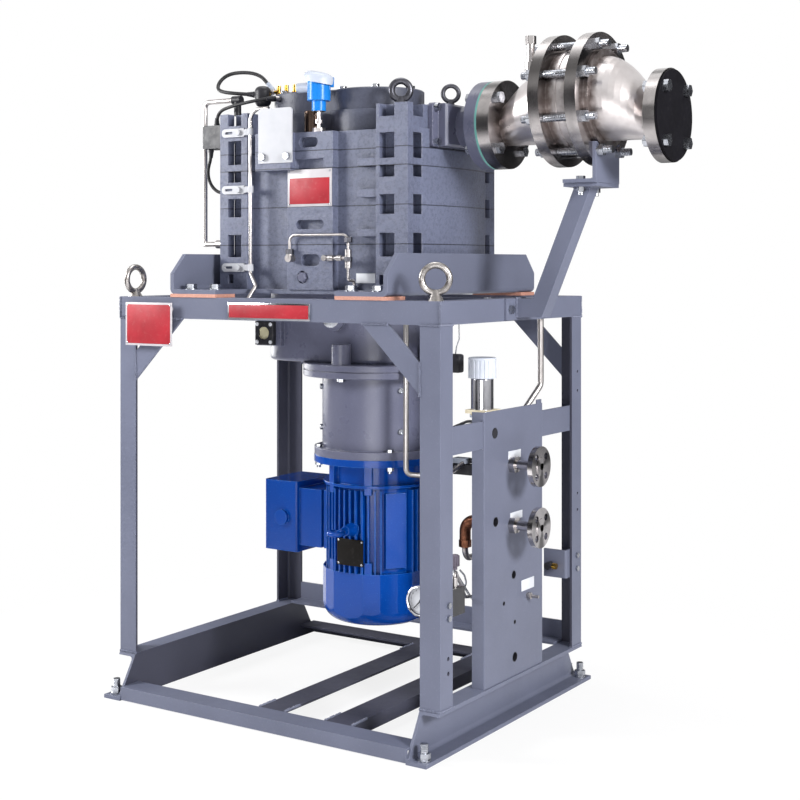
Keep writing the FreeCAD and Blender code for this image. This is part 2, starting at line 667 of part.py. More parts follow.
LINE_Z = 925.0
LINE_SEAT = GEARBOX_R + 5.0
line_seats = []
for x, deg in ((DRIVE_X, LINE_DEGS[0]), (DRIVE_X, LINE_DEGS[1]), (DRIVEN_X, THIN_SEAT_DEG)):
    seat = cyl((GEARBOX_R - 12, 0, LINE_Z), (1, 0, 0), 14.0, LINE_SEAT - GEARBOX_R + 12)
    seat.rotate(V(0, 0, 0), V(0, 0, 1), deg)
    seat.translate(V(x, SHAFT_Y, 0))
    line_seats.append(seat)
ear = cyl(on_drive(BELL_R, 0, BELL_BOTTOM), (0, 0, 1), BELL_EAR_R, BELL_EAR_H)
gearbox = fuse([gearbox, bell, ear, glass_pad, plug_seat] + bosses + line_seats)
boss_holes = [cyl(on_drive(BOSS_PCR, d, BELL_BOTTOM - 1), (0, 0, 1), 6.0 + HOLE_CLEAR, 60.0)
              for d in BOSS_DEGS]
cavity_r = GEARBOX_R - GEARBOX_WALL
gearbox = cut(gearbox, [twin_hull(cavity_r, GEARBOX_BOTTOM + GEARBOX_WALL, GEARBOX_TOP + 1),
                        cyl((DRIVE_X, SHAFT_Y, BELL_BOTTOM - 1), (0, 0, 1), SHAFT_R + 0.5,
                            BELL_T + GEARBOX_WALL + 2),
                        cyl((GLASS_X, GLASS_FACE - 1, GLASS_Z), (0, 1, 0), 12.0, 9.0)] + boss_holes)
export("gearbox_housing", gearbox)

bezel = box(GLASS_X - 27, GLASS_X + 27, GLASS_FACE - 12, GLASS_FACE, GLASS_Z - 28, GLASS_Z + 28)
bezel = bezel.makeChamfer(1.5, [e for e in bezel.Edges if e.BoundBox.YMax < GLASS_FACE - 11])
bezel = bezel.cut(cyl((GLASS_X, GLASS_FACE - 13, GLASS_Z), (0, 1, 0), 15.0, 14.0))
glass = cyl((GLASS_X, GLASS_FACE - 8, GLASS_Z), (0, 1, 0), 15.0, 8.0)
export("sight_glass", [bezel, glass])

# Rotor shafts with their collars, seated in ring bearings
SHAFT_TOP = BODY_TOP + 14.0
DRIVE_BOTTOM = 692.0
DRIVEN_BOTTOM = GEAR_Z - 14.0


def rotor_shaft(x, z0):
    collar = ring((x, SHAFT_Y, BODY_TOP + 0.3), (0, 0, 1), SHAFT_R + 8, SHAFT_R - 1, 10.0)
    return fuse([cyl((x, SHAFT_Y, z0), (0, 0, 1), SHAFT_R, SHAFT_TOP - z0), collar])


export("drive_shaft", rotor_shaft(DRIVE_X, DRIVE_BOTTOM))
export("driven_shaft", rotor_shaft(DRIVEN_X, DRIVEN_BOTTOM))
bearings = []
for x, y in shaft_axes():
    for z in (GEARBOX_TOP, BODY_TOP - BEARING_H):
        bearings.append(ring((x, y, z), (0, 0, 1), BEARING_R, SHAFT_R + SHAFT_FIT, BEARING_H))
export("shaft_bearings", bearings)

# Claw outline: two claws stand out of a rolling circle, and each one passes through a
# recess in the other rotor, whose floor is the envelope of the claw that sweeps it
ROLL_R = SHAFT_SPACING / 2
CLAW_FLAT = 22.0
CLAW_TAIL = 30.0
CLAW_STEP = 3.0


def claw_reach(deg):
    """Radius of the bare claws over the rolling circle, at an angle from a claw's face."""
    a = deg % 180.0
    rise = ROTOR_R - ROLL_R
    if a <= CLAW_FLAT:
        return ROTOR_R
    if a <= CLAW_FLAT + CLAW_TAIL:
        return ROTOR_R - rise * (1 - math.cos(math.pi * (a - CLAW_FLAT) / CLAW_TAIL)) / 2
    return ROLL_R


def swept_floor(steps):
    """Lowest radius that the mate's claw reaches, for each step of this rotor's angle."""
    floor = [ROLL_R] * steps
    mate_face = 90.0 - CLAW_PHASE
    for b in range(0, int(CLAW_FLAT + CLAW_TAIL) + 1):
        tip = claw_reach(b)
        low = ROLL_R if b == 0 else tip
        for part_way in range(9):
            r = low + (tip - low) * part_way / 8.0
            for turn in range(-90, 91):
                p = math.radians(mate_face - b - turn)
                x = r * math.cos(p) - SHAFT_SPACING
                y = r * math.sin(p)
                angle = math.degrees(math.atan2(y, x)) - turn
                k = int(round(angle * steps / 360.0))
                for n in (k - 1, k, k + 1):
                    floor[n % steps] = min(floor[n % steps], math.hypot(x, y))
    return floor


def claw_profile():
    steps = int(360 / CLAW_STEP)
    floor = swept_floor(steps)
    points = []
    for k in range(steps):
        deg = k * CLAW_STEP
        recess = min(floor[k], floor[(k + steps // 2) % steps])
        reach = claw_reach(deg - CLAW_PHASE)
        r = recess if recess < ROLL_R - 0.01 else reach
        r -= MESH_CLEAR
        points.append((r * math.cos(math.radians(deg)), r * math.sin(math.radians(deg)), 0))
    return points


CLAW_PHASE = 60.0
CLAW_DISC_Z = (JOINT_1, JOINT_2, JOINT_3)


def claw_discs(x, mirrored):
    outline = claw_profile()
    discs = []
    for k, top in enumerate(CLAW_DISC_Z):
        disc = prism(outline, (0, 0, CLAW_T))
        disc = disc.cut(cyl((0, 0, -1), (0, 0, 1), SHAFT_R, CLAW_T + 2))
        disc.rotate(V(0, 0, 0), V(0, 0, 1), 90.0 * (k % 2))
        if mirrored:
            disc = mirror_x(disc)
            disc.rotate(V(0, 0, 0), V(0, 0, 1), 90.0)
        disc.translate(V(x, SHAFT_Y, top - CLAW_T - AXIAL_CLEAR))
        discs.append(disc)
    return discs


export("drive_claws", claw_discs(DRIVE_X, False))
export("driven_claws", claw_discs(DRIVEN_X, True))


# Timing gears with involute flanks
def spur_gear(x, turn_deg):
    module = SHAFT_SPACING / GEAR_TEETH
    pitch = SHAFT_SPACING / 2
    base = pitch * math.cos(math.radians(20))
    tip = pitch + module * 0.95
    root = pitch - module * 1.2
    half = math.pi / (2 * GEAR_TEETH) - GEAR_BACKLASH / (2 * pitch)
    flank0 = math.tan(math.radians(20)) - math.radians(20)
    points = []
    for k in range(GEAR_TEETH):
        centre = 2 * math.pi * k / GEAR_TEETH
        right = []
        for r in (base + 0.2, base + 0.4 * (tip - base), base + 0.75 * (tip - base), tip):
            pressure = math.acos(base / r)
            right.append((r, half + flank0 - (math.tan(pressure) - pressure)))
        foot = [(root, half + flank0)]
        left = [(r, -a) for r, a in foot + right]
        for r, a in left + list(reversed(foot + right)):
            points.append((r * math.cos(centre + a), r * math.sin(centre + a), 0))
    gear = prism(points, (0, 0, GEAR_FACE))
    gear = fuse([gear, cyl((0, 0, GEAR_FACE - 1), (0, 0, 1), SHAFT_R + 12, 9.0)])
    gear = gear.cut(cyl((0, 0, -1), (0, 0, 1), SHAFT_R, GEAR_FACE + 12))
    gear.rotate(V(0, 0, 0), V(0, 0, 1), turn_deg)
    gear.translate(V(x, SHAFT_Y, GEAR_Z))
    return gear


half_tooth = 180.0 / GEAR_TEETH
export("drive_gear", spur_gear(DRIVE_X, 0.0 if GEAR_TEETH % 2 == 0 else half_tooth))
export("driven_gear", spur_gear(DRIVEN_X, half_tooth))

# Jaw coupling inside its tube housing
SPIDER_Z = 668.0
SPIDER_T = 20.0
JAW_OUT = 48.0
JAW_IN = 24.0
JAW_GAP = 0.3
JAW_DEG = 44.0
MOTOR_SHAFT_TOP = 664.0


def sector(radius_out, radius_in, z0, z1, mid_deg, width_deg):
    wedge = [(0, 0, z0)]
    for k in range(3):
        a = math.radians(mid_deg - width_deg / 2 + width_deg * k / 2.0)
        wedge.append((radius_out * 1.5 * math.cos(a), radius_out * 1.5 * math.sin(a), z0))
    piece = ring((0, 0, z0), (0, 0, 1), radius_out, radius_in, z1 - z0)
    piece = piece.common(prism(wedge, (0, 0, z1 - z0)))
    piece.translate(V(DRIVE_X, SHAFT_Y, 0))
    return piece


def coupling_hub(z_body, z_end, first_deg, bore_r):
    z0, z1 = sorted((z_body, z_end))
    hub = ring((DRIVE_X, SHAFT_Y, z0), (0, 0, 1), JAW_OUT, bore_r, z1 - z0)
    jaws = [sector(JAW_OUT, JAW_IN, SPIDER_Z, SPIDER_Z + SPIDER_T, first_deg + 120 * k, JAW_DEG)
            for k in range(3)]
    return fuse([hub] + jaws)


hub_top = coupling_hub(SPIDER_Z + SPIDER_T + JAW_GAP, SPIDER_Z + SPIDER_T + 45, 60.0, SHAFT_R)
hub_low = coupling_hub(SPIDER_Z - JAW_GAP, SPIDER_Z - 50, 0.0, MOTOR_SHAFT_R)
export("coupling_upper", fuse([hub_top] + [
    sector(JAW_OUT, JAW_IN, SPIDER_Z + SPIDER_T, SPIDER_Z + SPIDER_T + JAW_GAP + 1, 60 + 120 * k, JAW_DEG)
    for k in range(3)]))
export("coupling_lower", fuse([hub_low] + [
    sector(JAW_OUT, JAW_IN, SPIDER_Z - JAW_GAP - 1, SPIDER_Z, 120 * k, JAW_DEG) for k in range(3)]))
arm_deg = 60.0 - JAW_DEG
arms = [sector(JAW_OUT, JAW_IN - 1, SPIDER_Z, SPIDER_Z + SPIDER_T, 30 + 60 * k, arm_deg) for k in range(6)]
export("coupling_spider", fuse([ring((DRIVE_X, SHAFT_Y, SPIDER_Z), (0, 0, 1), JAW_IN, 12.0, SPIDER_T)]
                               + arms))

HOUSING_FLANGE_R = 149.5
HOUSING_FLANGE_T = 18.0
tube_r_in = HOUSING_R - HOUSING_WALL
housing = fuse([cyl((DRIVE_X, SHAFT_Y, HOUSING_BOTTOM), (0, 0, 1), HOUSING_R, BELL_BOTTOM - HOUSING_BOTTOM),
                cyl((DRIVE_X, SHAFT_Y, HOUSING_BOTTOM), (0, 0, 1), HOUSING_FLANGE_R, HOUSING_FLANGE_T)])
housing = housing.cut(cyl((DRIVE_X, SHAFT_Y, HOUSING_BOTTOM - 1), (0, 0, 1), tube_r_in, 300.0))
MOTOR_BOLT_R = 141.0
MOTOR_BOLTS = [on_drive(MOTOR_BOLT_R, 45 + 90 * k, 0) for k in range(4)]
motor_holes = [cyl((x, y, HOUSING_BOTTOM - 40), (0, 0, 1), 5.0 + HOLE_CLEAR, 80.0) for x, y, z in MOTOR_BOLTS]
export("coupling_housing", cut(housing, motor_holes))


# Motor: tube with long ribs, two shields, stator, rotor, fan and cowl
def motor_ring(r_out, r_in, z0, z1):
    return ring((DRIVE_X, SHAFT_Y, z0), (0, 0, 1), r_out, r_in, z1 - z0)


BOX_NECK_X = (-82.0, -18.0)
RIB_OFFSETS = (-37.5, -22.5, -7.5, 7.5, 22.5, 37.5)
LUG_DEG = 23.6
SIDE_RIB_DEGS = (31.0, 37.0)
FOOT_PAD_DEGS = (-36.0, -144.0, 36.0, 144.0)
EYE_X = 112.0
EYE_Z = 421.0
BLOCK_R = 127.0


def on_motor(shape, deg):
    shape.rotate(V(0, 0, 0), V(0, 0, 1), deg)
    shape.translate(V(DRIVE_X, SHAFT_Y, 0))
    return shape


envelope = motor_ring(MOTOR_R, MOTOR_BORE_R, RIB_BOTTOM, RIB_TOP)
cast = []
for side in (-90, 0, 90, 180):
    for offset in RIB_OFFSETS:
        rib = box(80, MOTOR_R, offset - RIB_T / 2, offset + RIB_T / 2, RIB_BOTTOM, RIB_TOP - 6)
        cast.append(on_motor(rib, side))
for side in (-90, 90):
    for s in (-1, 1):
        for z0, z1 in ((RIB_BOTTOM, RIB_BOTTOM + 25), (RIB_TOP - 15, RIB_TOP)):
            cast.append(on_motor(box(100, BLOCK_R, -8, 8, z0, z1), side + s * LUG_DEG))
        for deg in (LUG_DEG,) + SIDE_RIB_DEGS:
            cast.append(on_motor(box(100, MOTOR_R - 2, -1.5, 1.5, RIB_BOTTOM, RIB_TOP - 6), side + s * deg))
cast += [on_motor(box(90, 122, -25, 25, RIB_BOTTOM + 12, RIB_TOP - 12), deg) for deg in FOOT_PAD_DEGS]
cast.append(box(BOX_NECK_X[1] - 12, DRIVE_X - 80, -105, 25, 355, 492))
cast = [c.common(envelope) for c in cast]
BOSS_H = 24.0
boss_y = SHAFT_Y - MOTOR_R
eye_boss = Part.makeCone(17.0, 11.0, BOSS_H + 8, V(EYE_X, boss_y + 8, EYE_Z), V(0, -1, 0))
eye_root = cyl((EYE_X, SHAFT_Y - MOTOR_BORE_R + 6, EYE_Z), (0, -1, 0), 17.0, MOTOR_R - MOTOR_BORE_R)
frame_tube = motor_ring(MOTOR_TUBE_R, MOTOR_BORE_R, RIB_BOTTOM, RIB_TOP)
motor_frame = fuse([frame_tube] + cast + [eye_root.common(envelope), eye_boss.cut(envelope)])
motor_frame = motor_frame.cut(box(BOX_NECK_X[1] - 12, BOX_NECK_X[1], -106, 26, 354, 493))
export("motor_frame", motor_frame)

flange_z = HOUSING_BOTTOM - MOTOR_FLANGE_T
neck_blocks = []
for side in (-90, 90):
    for s in (-1, 1):
        block = box(NECK_R - 8, BLOCK_R, -9, 9, RIB_TOP, flange_z)
        neck_blocks.append(on_motor(block, side + s * LUG_DEG))
shield_top = fuse([motor_ring(MOTOR_FLANGE_R, 60.0, flange_z, HOUSING_BOTTOM),
                   motor_ring(NECK_R, NECK_R - 10, RIB_TOP, flange_z),
                   motor_ring(MOTOR_R, MOTOR_SHAFT_R + SHAFT_FIT, RIB_TOP, RIB_TOP + 6),
                   motor_ring(70.0, MOTOR_SHAFT_R + SHAFT_FIT, RIB_TOP, HOUSING_BOTTOM)] + neck_blocks)
shield_top = cut(shield_top, motor_holes)

# Fan cowl outline: sixteen flats, wide ones on the four sides
COWL_R = MOTOR_R + 1.0
COWL_CORNERS = (-36.0, -18.5, 18.5, 36.0)


def cowl_prism(r, z0, z1):
    corners = []
    for side in (0, 90, 180, 270):
        for deg in COWL_CORNERS:
            a = math.radians(side + deg)
            corners.append((DRIVE_X + r * math.cos(a), SHAFT_Y + r * math.sin(a), z0))
    return prism(corners, (0, 0, z1 - z0))


cowl_room = cowl_prism(COWL_R - COWL_T / math.cos(math.radians(COWL_CORNERS[2])), COWL_BOTTOM, RIB_BOTTOM)
FAN_SHIELD_T = 14.0
shield_low = motor_ring(MOTOR_TUBE_R, MOTOR_SHAFT_R + SHAFT_FIT, RIB_BOTTOM - FAN_SHIELD_T, RIB_BOTTOM)
lugs = []
for k in range(4):
    lug = box(MOTOR_TUBE_R - 4, MOTOR_R, -9, 9, RIB_BOTTOM - FAN_SHIELD_T, RIB_BOTTOM)
    lugs.append(on_motor(lug, 45 + 90 * k).common(cowl_room))
export("motor_shields", [shield_top, fuse([shield_low] + lugs)])

STATOR_Z = (348.0, 482.0)
AIR_GAP = 0.6
PACK_R = 62.0
stator = fuse([motor_ring(MOTOR_BORE_R, PACK_R + AIR_GAP, STATOR_Z[0], STATOR_Z[1]),
               motor_ring(MOTOR_BORE_R - 6, PACK_R + 8, STATOR_Z[0] - 20, STATOR_Z[0]),
               motor_ring(MOTOR_BORE_R - 6, PACK_R + 8, STATOR_Z[1], STATOR_Z[1] + 22)])
export("motor_stator", stator)
FAN_Z = 232.0
motor_shaft = cyl((DRIVE_X, SHAFT_Y, FAN_Z - 6), (0, 0, 1), MOTOR_SHAFT_R, MOTOR_SHAFT_TOP - FAN_Z + 6)
export("motor_rotor", fuse([motor_shaft, motor_ring(PACK_R, MOTOR_SHAFT_R - 1, *STATOR_Z)]))

FAN_BLADES = 8
FAN_R = 98.0
fan_parts = [motor_ring(32.0, MOTOR_SHAFT_R, FAN_Z, FAN_Z + 50),
             motor_ring(FAN_R, MOTOR_SHAFT_R, FAN_Z + 46, FAN_Z + 50)]
for k in range(FAN_BLADES):
    blade = box(30, FAN_R, -1.5, 1.5, FAN_Z + 4, FAN_Z + 47)
    blade.rotate(V(0, 0, 0), V(0, 0, 1), 360.0 * k / FAN_BLADES)
    blade.translate(V(DRIVE_X, SHAFT_Y, 0))
    fan_parts.append(blade)
export("motor_fan", fuse(fan_parts))

COWL_ROUND = 42.0


def cowl_shape(r, bottom, rounding):
    tub = cyl((DRIVE_X, SHAFT_Y, bottom), (0, 0, 1), r, RIB_BOTTOM - bottom)
    tub = tub.makeFillet(rounding, [e for e in tub.Edges if e.BoundBox.ZMax < bottom + 0.1])
    return tub.common(cowl_prism(r, bottom, RIB_BOTTOM))


cowl = cowl_shape(COWL_R, COWL_BOTTOM, COWL_ROUND)
inner = cowl_shape(COWL_R - COWL_T / math.cos(math.radians(COWL_CORNERS[2])), COWL_BOTTOM + COWL_T,
                   COWL_ROUND - COWL_T)
slots = []
for k in range(16):
    gap = box(28, 76, -4, 4, COWL_BOTTOM - 1, COWL_BOTTOM + COWL_T + 1)
    gap.rotate(V(0, 0, 0), V(0, 0, 1), 360.0 * k / 16)
    gap.translate(V(DRIVE_X, SHAFT_Y, 0))
    slots.append(gap)
export("fan_cowl", cut(cowl.cut(inner), slots))

terminal = box(-181, BOX_NECK_X[0], -115, 35, 339, 507)
terminal = terminal.makeFillet(8.0, [e for e in terminal.Edges if e.BoundBox.ZLength > 100])
neck = box(BOX_NECK_X[0], BOX_NECK_X[1], -105, 25, 355, 492)
gland = cyl((-125, -115, 420), (0, -1, 0), 18.0, 9.0)
terminal = fuse([terminal, neck, gland])
export("terminal_box", terminal)

# Inlet line: adapter on the head, then the eccentric arrester between two large flanges
def x_disc(x0, x1, r, z, y=0.0):
    return cyl((x0, y, z), (1, 0, 0), r, x1 - x0)


def flange_holes(x0, x1, z, pcd, r, count):
    pts = circle_points((x0 - 1, 0, z), pcd / 2, count, 180.0 / count, "yz")
    return [cyl(p, (1, 0, 0), r, x1 - x0 + 2) for p in pts]


plate = box(BODY_R, PLATE_END, -110, 110, 1292, 1392)
plate = plate.makeFillet(10.0, [e for e in plate.Edges if abs(e.BoundBox.XLength - 12) < 0.01])
block = box(PLATE_END, BLOCK_END, -85, 85, 1294, 1391)
block = block.makeChamfer(5.0, [e for e in block.Edges if e.BoundBox.XMin > BLOCK_END - 0.1])
adapter = fuse([plate, block, x_disc(BLOCK_END, FLANGE_A, PIPE_R, PIPE_Z),
                x_disc(FLANGE_A, FLANGE_B, DN80_R, PIPE_Z)])
adapter_screws = [(sy * 98.0, PIPE_Z + dz) for sy in (-1, 1) for dz in (-40.0, 40.0)]
adapter_holes = [cyl((BODY_R - 1, y, z), (1, 0, 0), 6.0 + HOLE_CLEAR, 14.0) for y, z in adapter_screws]
adapter = cut(adapter, adapter_holes + [x_disc(BODY_R - 1, FLANGE_B + 1, PIPE_BORE, PIPE_Z)]
              + flange_holes(FLANGE_A, FLANGE_B, PIPE_Z, DN80_PCD, DN80_HOLE, 4))
export("inlet_adapter", adapter)

gasket = x_disc(FLANGE_B, FLANGE_B + GASKET_T, DN80_R, PIPE_Z)
gasket = cut(gasket, [x_disc(FLANGE_B - 1, FLANGE_C, PIPE_BORE, PIPE_Z)]
             + flange_holes(FLANGE_B, FLANGE_C, PIPE_Z, DN80_PCD, DN80_HOLE, 4))
export("inlet_gasket", gasket)


# Cones that keep one straight line along the bottom and grow upwards
def offset_loft(sections, bottom):
    rings = []
    for x, r in sections:
        rings.append(Part.Wire(Part.makeCircle(r, V(x, 0, bottom + r), V(1, 0, 0))))
    return Part.makeLoft(rings, True, True)


def offset_cone(sections, wall):
    bottom = PIPE_Z - PIPE_R
    skin = offset_loft(sections, bottom)
    core = offset_loft([(x, r - wall) for x, r in sections], bottom + wall)
    return skin, core


CONE_WALL = 4.0
CONE_R = HOUSING_Z - PIPE_Z + PIPE_R
gasket_end = FLANGE_B + GASKET_T
DOME_NECK = 24.0
DOME_STEPS = 8
dome_start = BIG_D + 10
dome_end = END_A - DOME_NECK
cone_in = [(FLANGE_C, PIPE_R), (FLANGE_C + 0.4 * CONE_LEN, 70.0), (BIG_A, CONE_R)]
cone_out = []
for k in range(DOME_STEPS + 1):
    t = k / DOME_STEPS
    swell = math.cos(math.pi * t / 2) ** 0.8 if k < DOME_STEPS else 0.0
    cone_out.append((dome_start + t * (dome_end - dome_start), PIPE_R + (CONE_R - PIPE_R) * swell))
cone_out.append((END_A, PIPE_R))
skin, core = offset_cone(cone_in, CONE_WALL)
VALVE_X = FLANGE_C + 54.0
VALVE_SEAT = 1462.0
nozzle = cyl((VALVE_X, 0, 1400), (0, 0, 1), 9.0, VALVE_SEAT - 1400)
arrester_in = fuse([skin, nozzle, x_disc(gasket_end, FLANGE_C, DN80_R, PIPE_Z),
                    x_disc(BIG_A, BIG_B, BIG_R, HOUSING_Z)])
stud_holes = flange_holes(BIG_A, BIG_D, HOUSING_Z, BIG_PCD, 8.0 + HOLE_CLEAR, BIG_COUNT)
arrester_in = cut(arrester_in, [core, cyl((VALVE_X, 0, 1390), (0, 0, 1), 4.0, 80.0),
                                x_disc(gasket_end - 1, FLANGE_C, PIPE_R - CONE_WALL, PIPE_Z),
                                x_disc(BIG_A, BIG_B + 1, CONE_R - CONE_WALL, HOUSING_Z)] + stud_holes
                  + flange_holes(gasket_end, FLANGE_C, PIPE_Z, DN80_PCD, DN80_HOLE, 4))
export("arrester_inlet", arrester_in)

skin, core = offset_cone(cone_out, CONE_WALL)
arrester_out = fuse([skin, x_disc(BIG_C, BIG_D, BIG_R, HOUSING_Z),
                     x_disc(BIG_D, dome_start, 108.0, HOUSING_Z), x_disc(END_A, END_B, DN80_R, PIPE_Z)])
end_holes = flange_holes(END_A, END_B + BLANK_T, PIPE_Z, DN80_PCD, DN80_HOLE, 4)
arrester_out = cut(arrester_out, [core, x_disc(END_A, END_B + 1, PIPE_R - CONE_WALL, PIPE_Z),
                                  x_disc(BIG_C - 1, dome_start, CONE_R - CONE_WALL, HOUSING_Z)]
                   + stud_holes + end_holes)
export("arrester_outlet", arrester_out)

ELEMENT_R = 112.0
element_ring = fuse([x_disc(BIG_B, BIG_C, ELEMENT_R, HOUSING_Z),
                     x_disc(BIG_B + 18, BIG_B + 25, ELEMENT_R + 2.5, HOUSING_Z)])
element_ring = element_ring.cut(x_disc(BIG_B - 1, BIG_C + 1, CONE_R, HOUSING_Z))
export("arrester_element", [element_ring, x_disc(BIG_B + 8, BIG_C - 8, CONE_R, HOUSING_Z)])
blank = cut(x_disc(END_B, END_B + BLANK_T, DN80_R - 3, PIPE_Z), end_holes)
export("blank_cover", blank)

# Studs, nuts and screws of the inlet line
line_bolts = []
LEG_T = 8.0
LEG_HALF = 60.0
for k, p in enumerate(circle_points((0, 0, HOUSING_Z), BIG_PCD / 2, BIG_COUNT, 180.0 / BIG_COUNT, "yz")):
    on_bracket = p[2] < HOUSING_Z - 100
    nut_x = BIG_D + (LEG_T if on_bracket else 0.0)
    stud = cyl((BIG_A - 28, p[1], p[2]), (1, 0, 0), 8.0, nut_x + 34 - BIG_A + 28)
    line_bolts.append(fuse([stud, hexagon((nut_x, p[1], p[2]), (1, 0, 0), 24.0, 14.0),
                            hexagon((BIG_A, p[1], p[2]), (-1, 0, 0), 24.0, 14.0)]))
for x0, x1 in ((FLANGE_A, FLANGE_C), (END_A, END_B + BLANK_T)):
    for p in circle_points((0, 0, PIPE_Z), DN80_PCD / 2, 4, 45.0, "yz"):
        shank = cyl((x0 - 16, p[1], p[2]), (1, 0, 0), 8.0, x1 - x0 + 20)
        line_bolts.append(fuse([shank, hexagon((x1, p[1], p[2]), (1, 0, 0), 24.0, END_HEAD),
                                hexagon((x0, p[1], p[2]), (-1, 0, 0), 24.0, 13.0)]))
export("pipe_fasteners", line_bolts)

# Angle under the large flange, standing on the bent square-tube arm
SHELF_Z = 1203.0
ARM_Y = 6.0
ARM_HALF = 20.0
ARM_WALL = 3.0
angle = fuse([box(BIG_D, BIG_D + LEG_T, -LEG_HALF, LEG_HALF, SHELF_Z, 1290),
              box(BIG_D - 71, BIG_D + LEG_T, -LEG_HALF, LEG_HALF, SHELF_Z, SHELF_Z + LEG_T)])
shelf_bolts = [(BIG_D - 41, -32.0), (BIG_D - 41, 44.0)]
shelf_holes = [cyl((x, y, SHELF_Z - 20), (0, 0, 1), 6.0 + HOLE_CLEAR, 60.0) for x, y in shelf_bolts]
angle = cut(angle, [x_disc(BIG_D - 1, BIG_D + 20, 109.0, HOUSING_Z)] + shelf_holes
            + flange_holes(BIG_D, BIG_D + LEG_T, HOUSING_Z, BIG_PCD, 8.0 + HOLE_CLEAR, BIG_COUNT))
export("support_bracket", angle)
ARM_PLATE_T = 6.0
arm_xz = [(HALF_W + ARM_PLATE_T, 909), (521, 909), (BIG_D - 26, SHELF_Z - 8),
          (BIG_D - 66, SHELF_Z - 8), (498, 950),
          (HALF_W + ARM_PLATE_T, 950)]
arm = prism([(x, ARM_Y - ARM_HALF, z) for x, z in arm_xz], (0, 2 * ARM_HALF, 0))
core_wire = Part.makePolygon([V(x, ARM_Y - ARM_HALF + ARM_WALL, z) for x, z in arm_xz + arm_xz[:1]])
core_face = Part.Face(core_wire)
core = core_face.makeOffset2D(-ARM_WALL).extrude(V(0, 2 * (ARM_HALF - ARM_WALL), 0))
arm = arm.cut(core)
foot_plate = box(HALF_W, HALF_W + ARM_PLATE_T, ARM_Y - 64, ARM_Y + 64, 902, 950)
arm_bolt_y = (ARM_Y - 46, ARM_Y + 46)
arm_holes = [cyl((HALF_W - 20, y, 926), (1, 0, 0), 6.0 + HOLE_CLEAR, 50.0) for y in arm_bolt_y]
top_plate = box(BIG_D - 74, BIG_D + 6, ARM_Y - 56, ARM_Y + 56, SHELF_Z - 8, SHELF_Z)
support_arm = cut(fuse([arm, foot_plate, top_plate]), arm_holes + shelf_holes)
export("support_arm", support_arm)
export("rails_side", [cut(right_rail, arm_holes), left_rail])

# Folded instrument panel with its notched front lip
panel_in = HALF_W - ANGLE_T
panel_out = panel_in + PANEL_T
panel = box(panel_in, panel_out, PANEL_Y0, PANEL_Y1, CHANNEL_H, PANEL_TOP)
lip = box(panel_out - PANEL_LIP, panel_out, PANEL_Y0, PANEL_Y0 + PANEL_T, CHANNEL_H, PANEL_TOP)
notch = box(BAR_X - 1, panel_in, PANEL_Y0 - 1, PANEL_Y0 + PANEL_T + 0.01, BAR_Z[0] - 1, BAR_Z[1] + 1)
PANEL_HOLES = ((-95, 655, 12.0), (-91, 459, 11.0), (-8, 328, 9.5), (-54, 272, 5.0), (-3, 221, 5.0),
               (-3, 142, 11.0))
plain_holes = [cyl((panel_in - 5, y, z), (1, 0, 0), r, 20.0) for y, z, r in PANEL_HOLES]
LINE_OUT = (57.0, 269.0)
NUT_FLATS = 34.0
port_holes = [cyl((panel_in - 5, PORT_Y, z), (1, 0, 0), 10.65 + 0.35, 20.0) for z in PORT_Z]
port_holes.append(cyl((panel_in - 5, LINE_OUT[0], LINE_OUT[1]), (1, 0, 0), 5.5, 20.0))
tab = box(panel_in, panel_out, PANEL_Y1 - 26, PANEL_Y1 - 4, PANEL_TOP - 1, PANEL_TOP + 9)
panel = fuse([panel, lip.cut(notch), tab])
fold = [e for e in panel.Edges if abs(e.CenterOfMass.x - panel_out) < 0.01
        and abs(e.CenterOfMass.y - PANEL_Y0) < 0.01 and e.Length > 400]
panel = panel.makeFillet(2.5, fold)
export("panel_plate", cut(panel, plain_holes + port_holes))

# Service ports: stub pipe with a bored flange, clamped in the panel by two nuts
PORT_BACK = 424.0
PIPE_OUT_R = 10.65
ports = []
for z in PORT_Z:
    flange = x_disc(PORT_FACE - PORT_T, PORT_FACE, PORT_R, z, PORT_Y)
    hub = x_disc(PORT_FACE - PORT_T - 10, PORT_FACE - PORT_T + 1, PIPE_OUT_R + 5, z, PORT_Y)
    face = x_disc(PORT_FACE - 1, PORT_FACE + 1.5, 21.0, z, PORT_Y)
    stub = x_disc(PORT_BACK, PORT_FACE - 1, PIPE_OUT_R, z, PORT_Y)
    front_nut = hexagon((panel_out, PORT_Y, z), (1, 0, 0), NUT_FLATS, 14.0)
    back_nut = hexagon((panel_in, PORT_Y, z), (-1, 0, 0), NUT_FLATS, 10.0)
    port = fuse([flange, hub, face, stub, front_nut, back_nut])
    bolt_holes = []
    for p in circle_points((PORT_FACE - 20, PORT_Y, z), PORT_PCD / 2, 4, 45.0, "yz"):
        bolt_holes.append(cyl(p, (1, 0, 0), PORT_HOLE, 30.0))
    ports.append(cut(port, bolt_holes + [x_disc(PORT_BACK - 1, PORT_FACE + 2, PORT_BORE, z, PORT_Y)]))
export("service_ports", ports)

# Regulator behind the panel's top edge, with its ribbed knob
KNOB_Z = 775.0
KNOB_GAP = 0.3
KNOB_R = 31.0
KNOB_TOP = 821.0
SPINDLE_R = 6.0


def on_reg(z0, z1, r):
    return cyl((REG_X, REG_Y, z0), (0, 0, 1), r, z1 - z0)


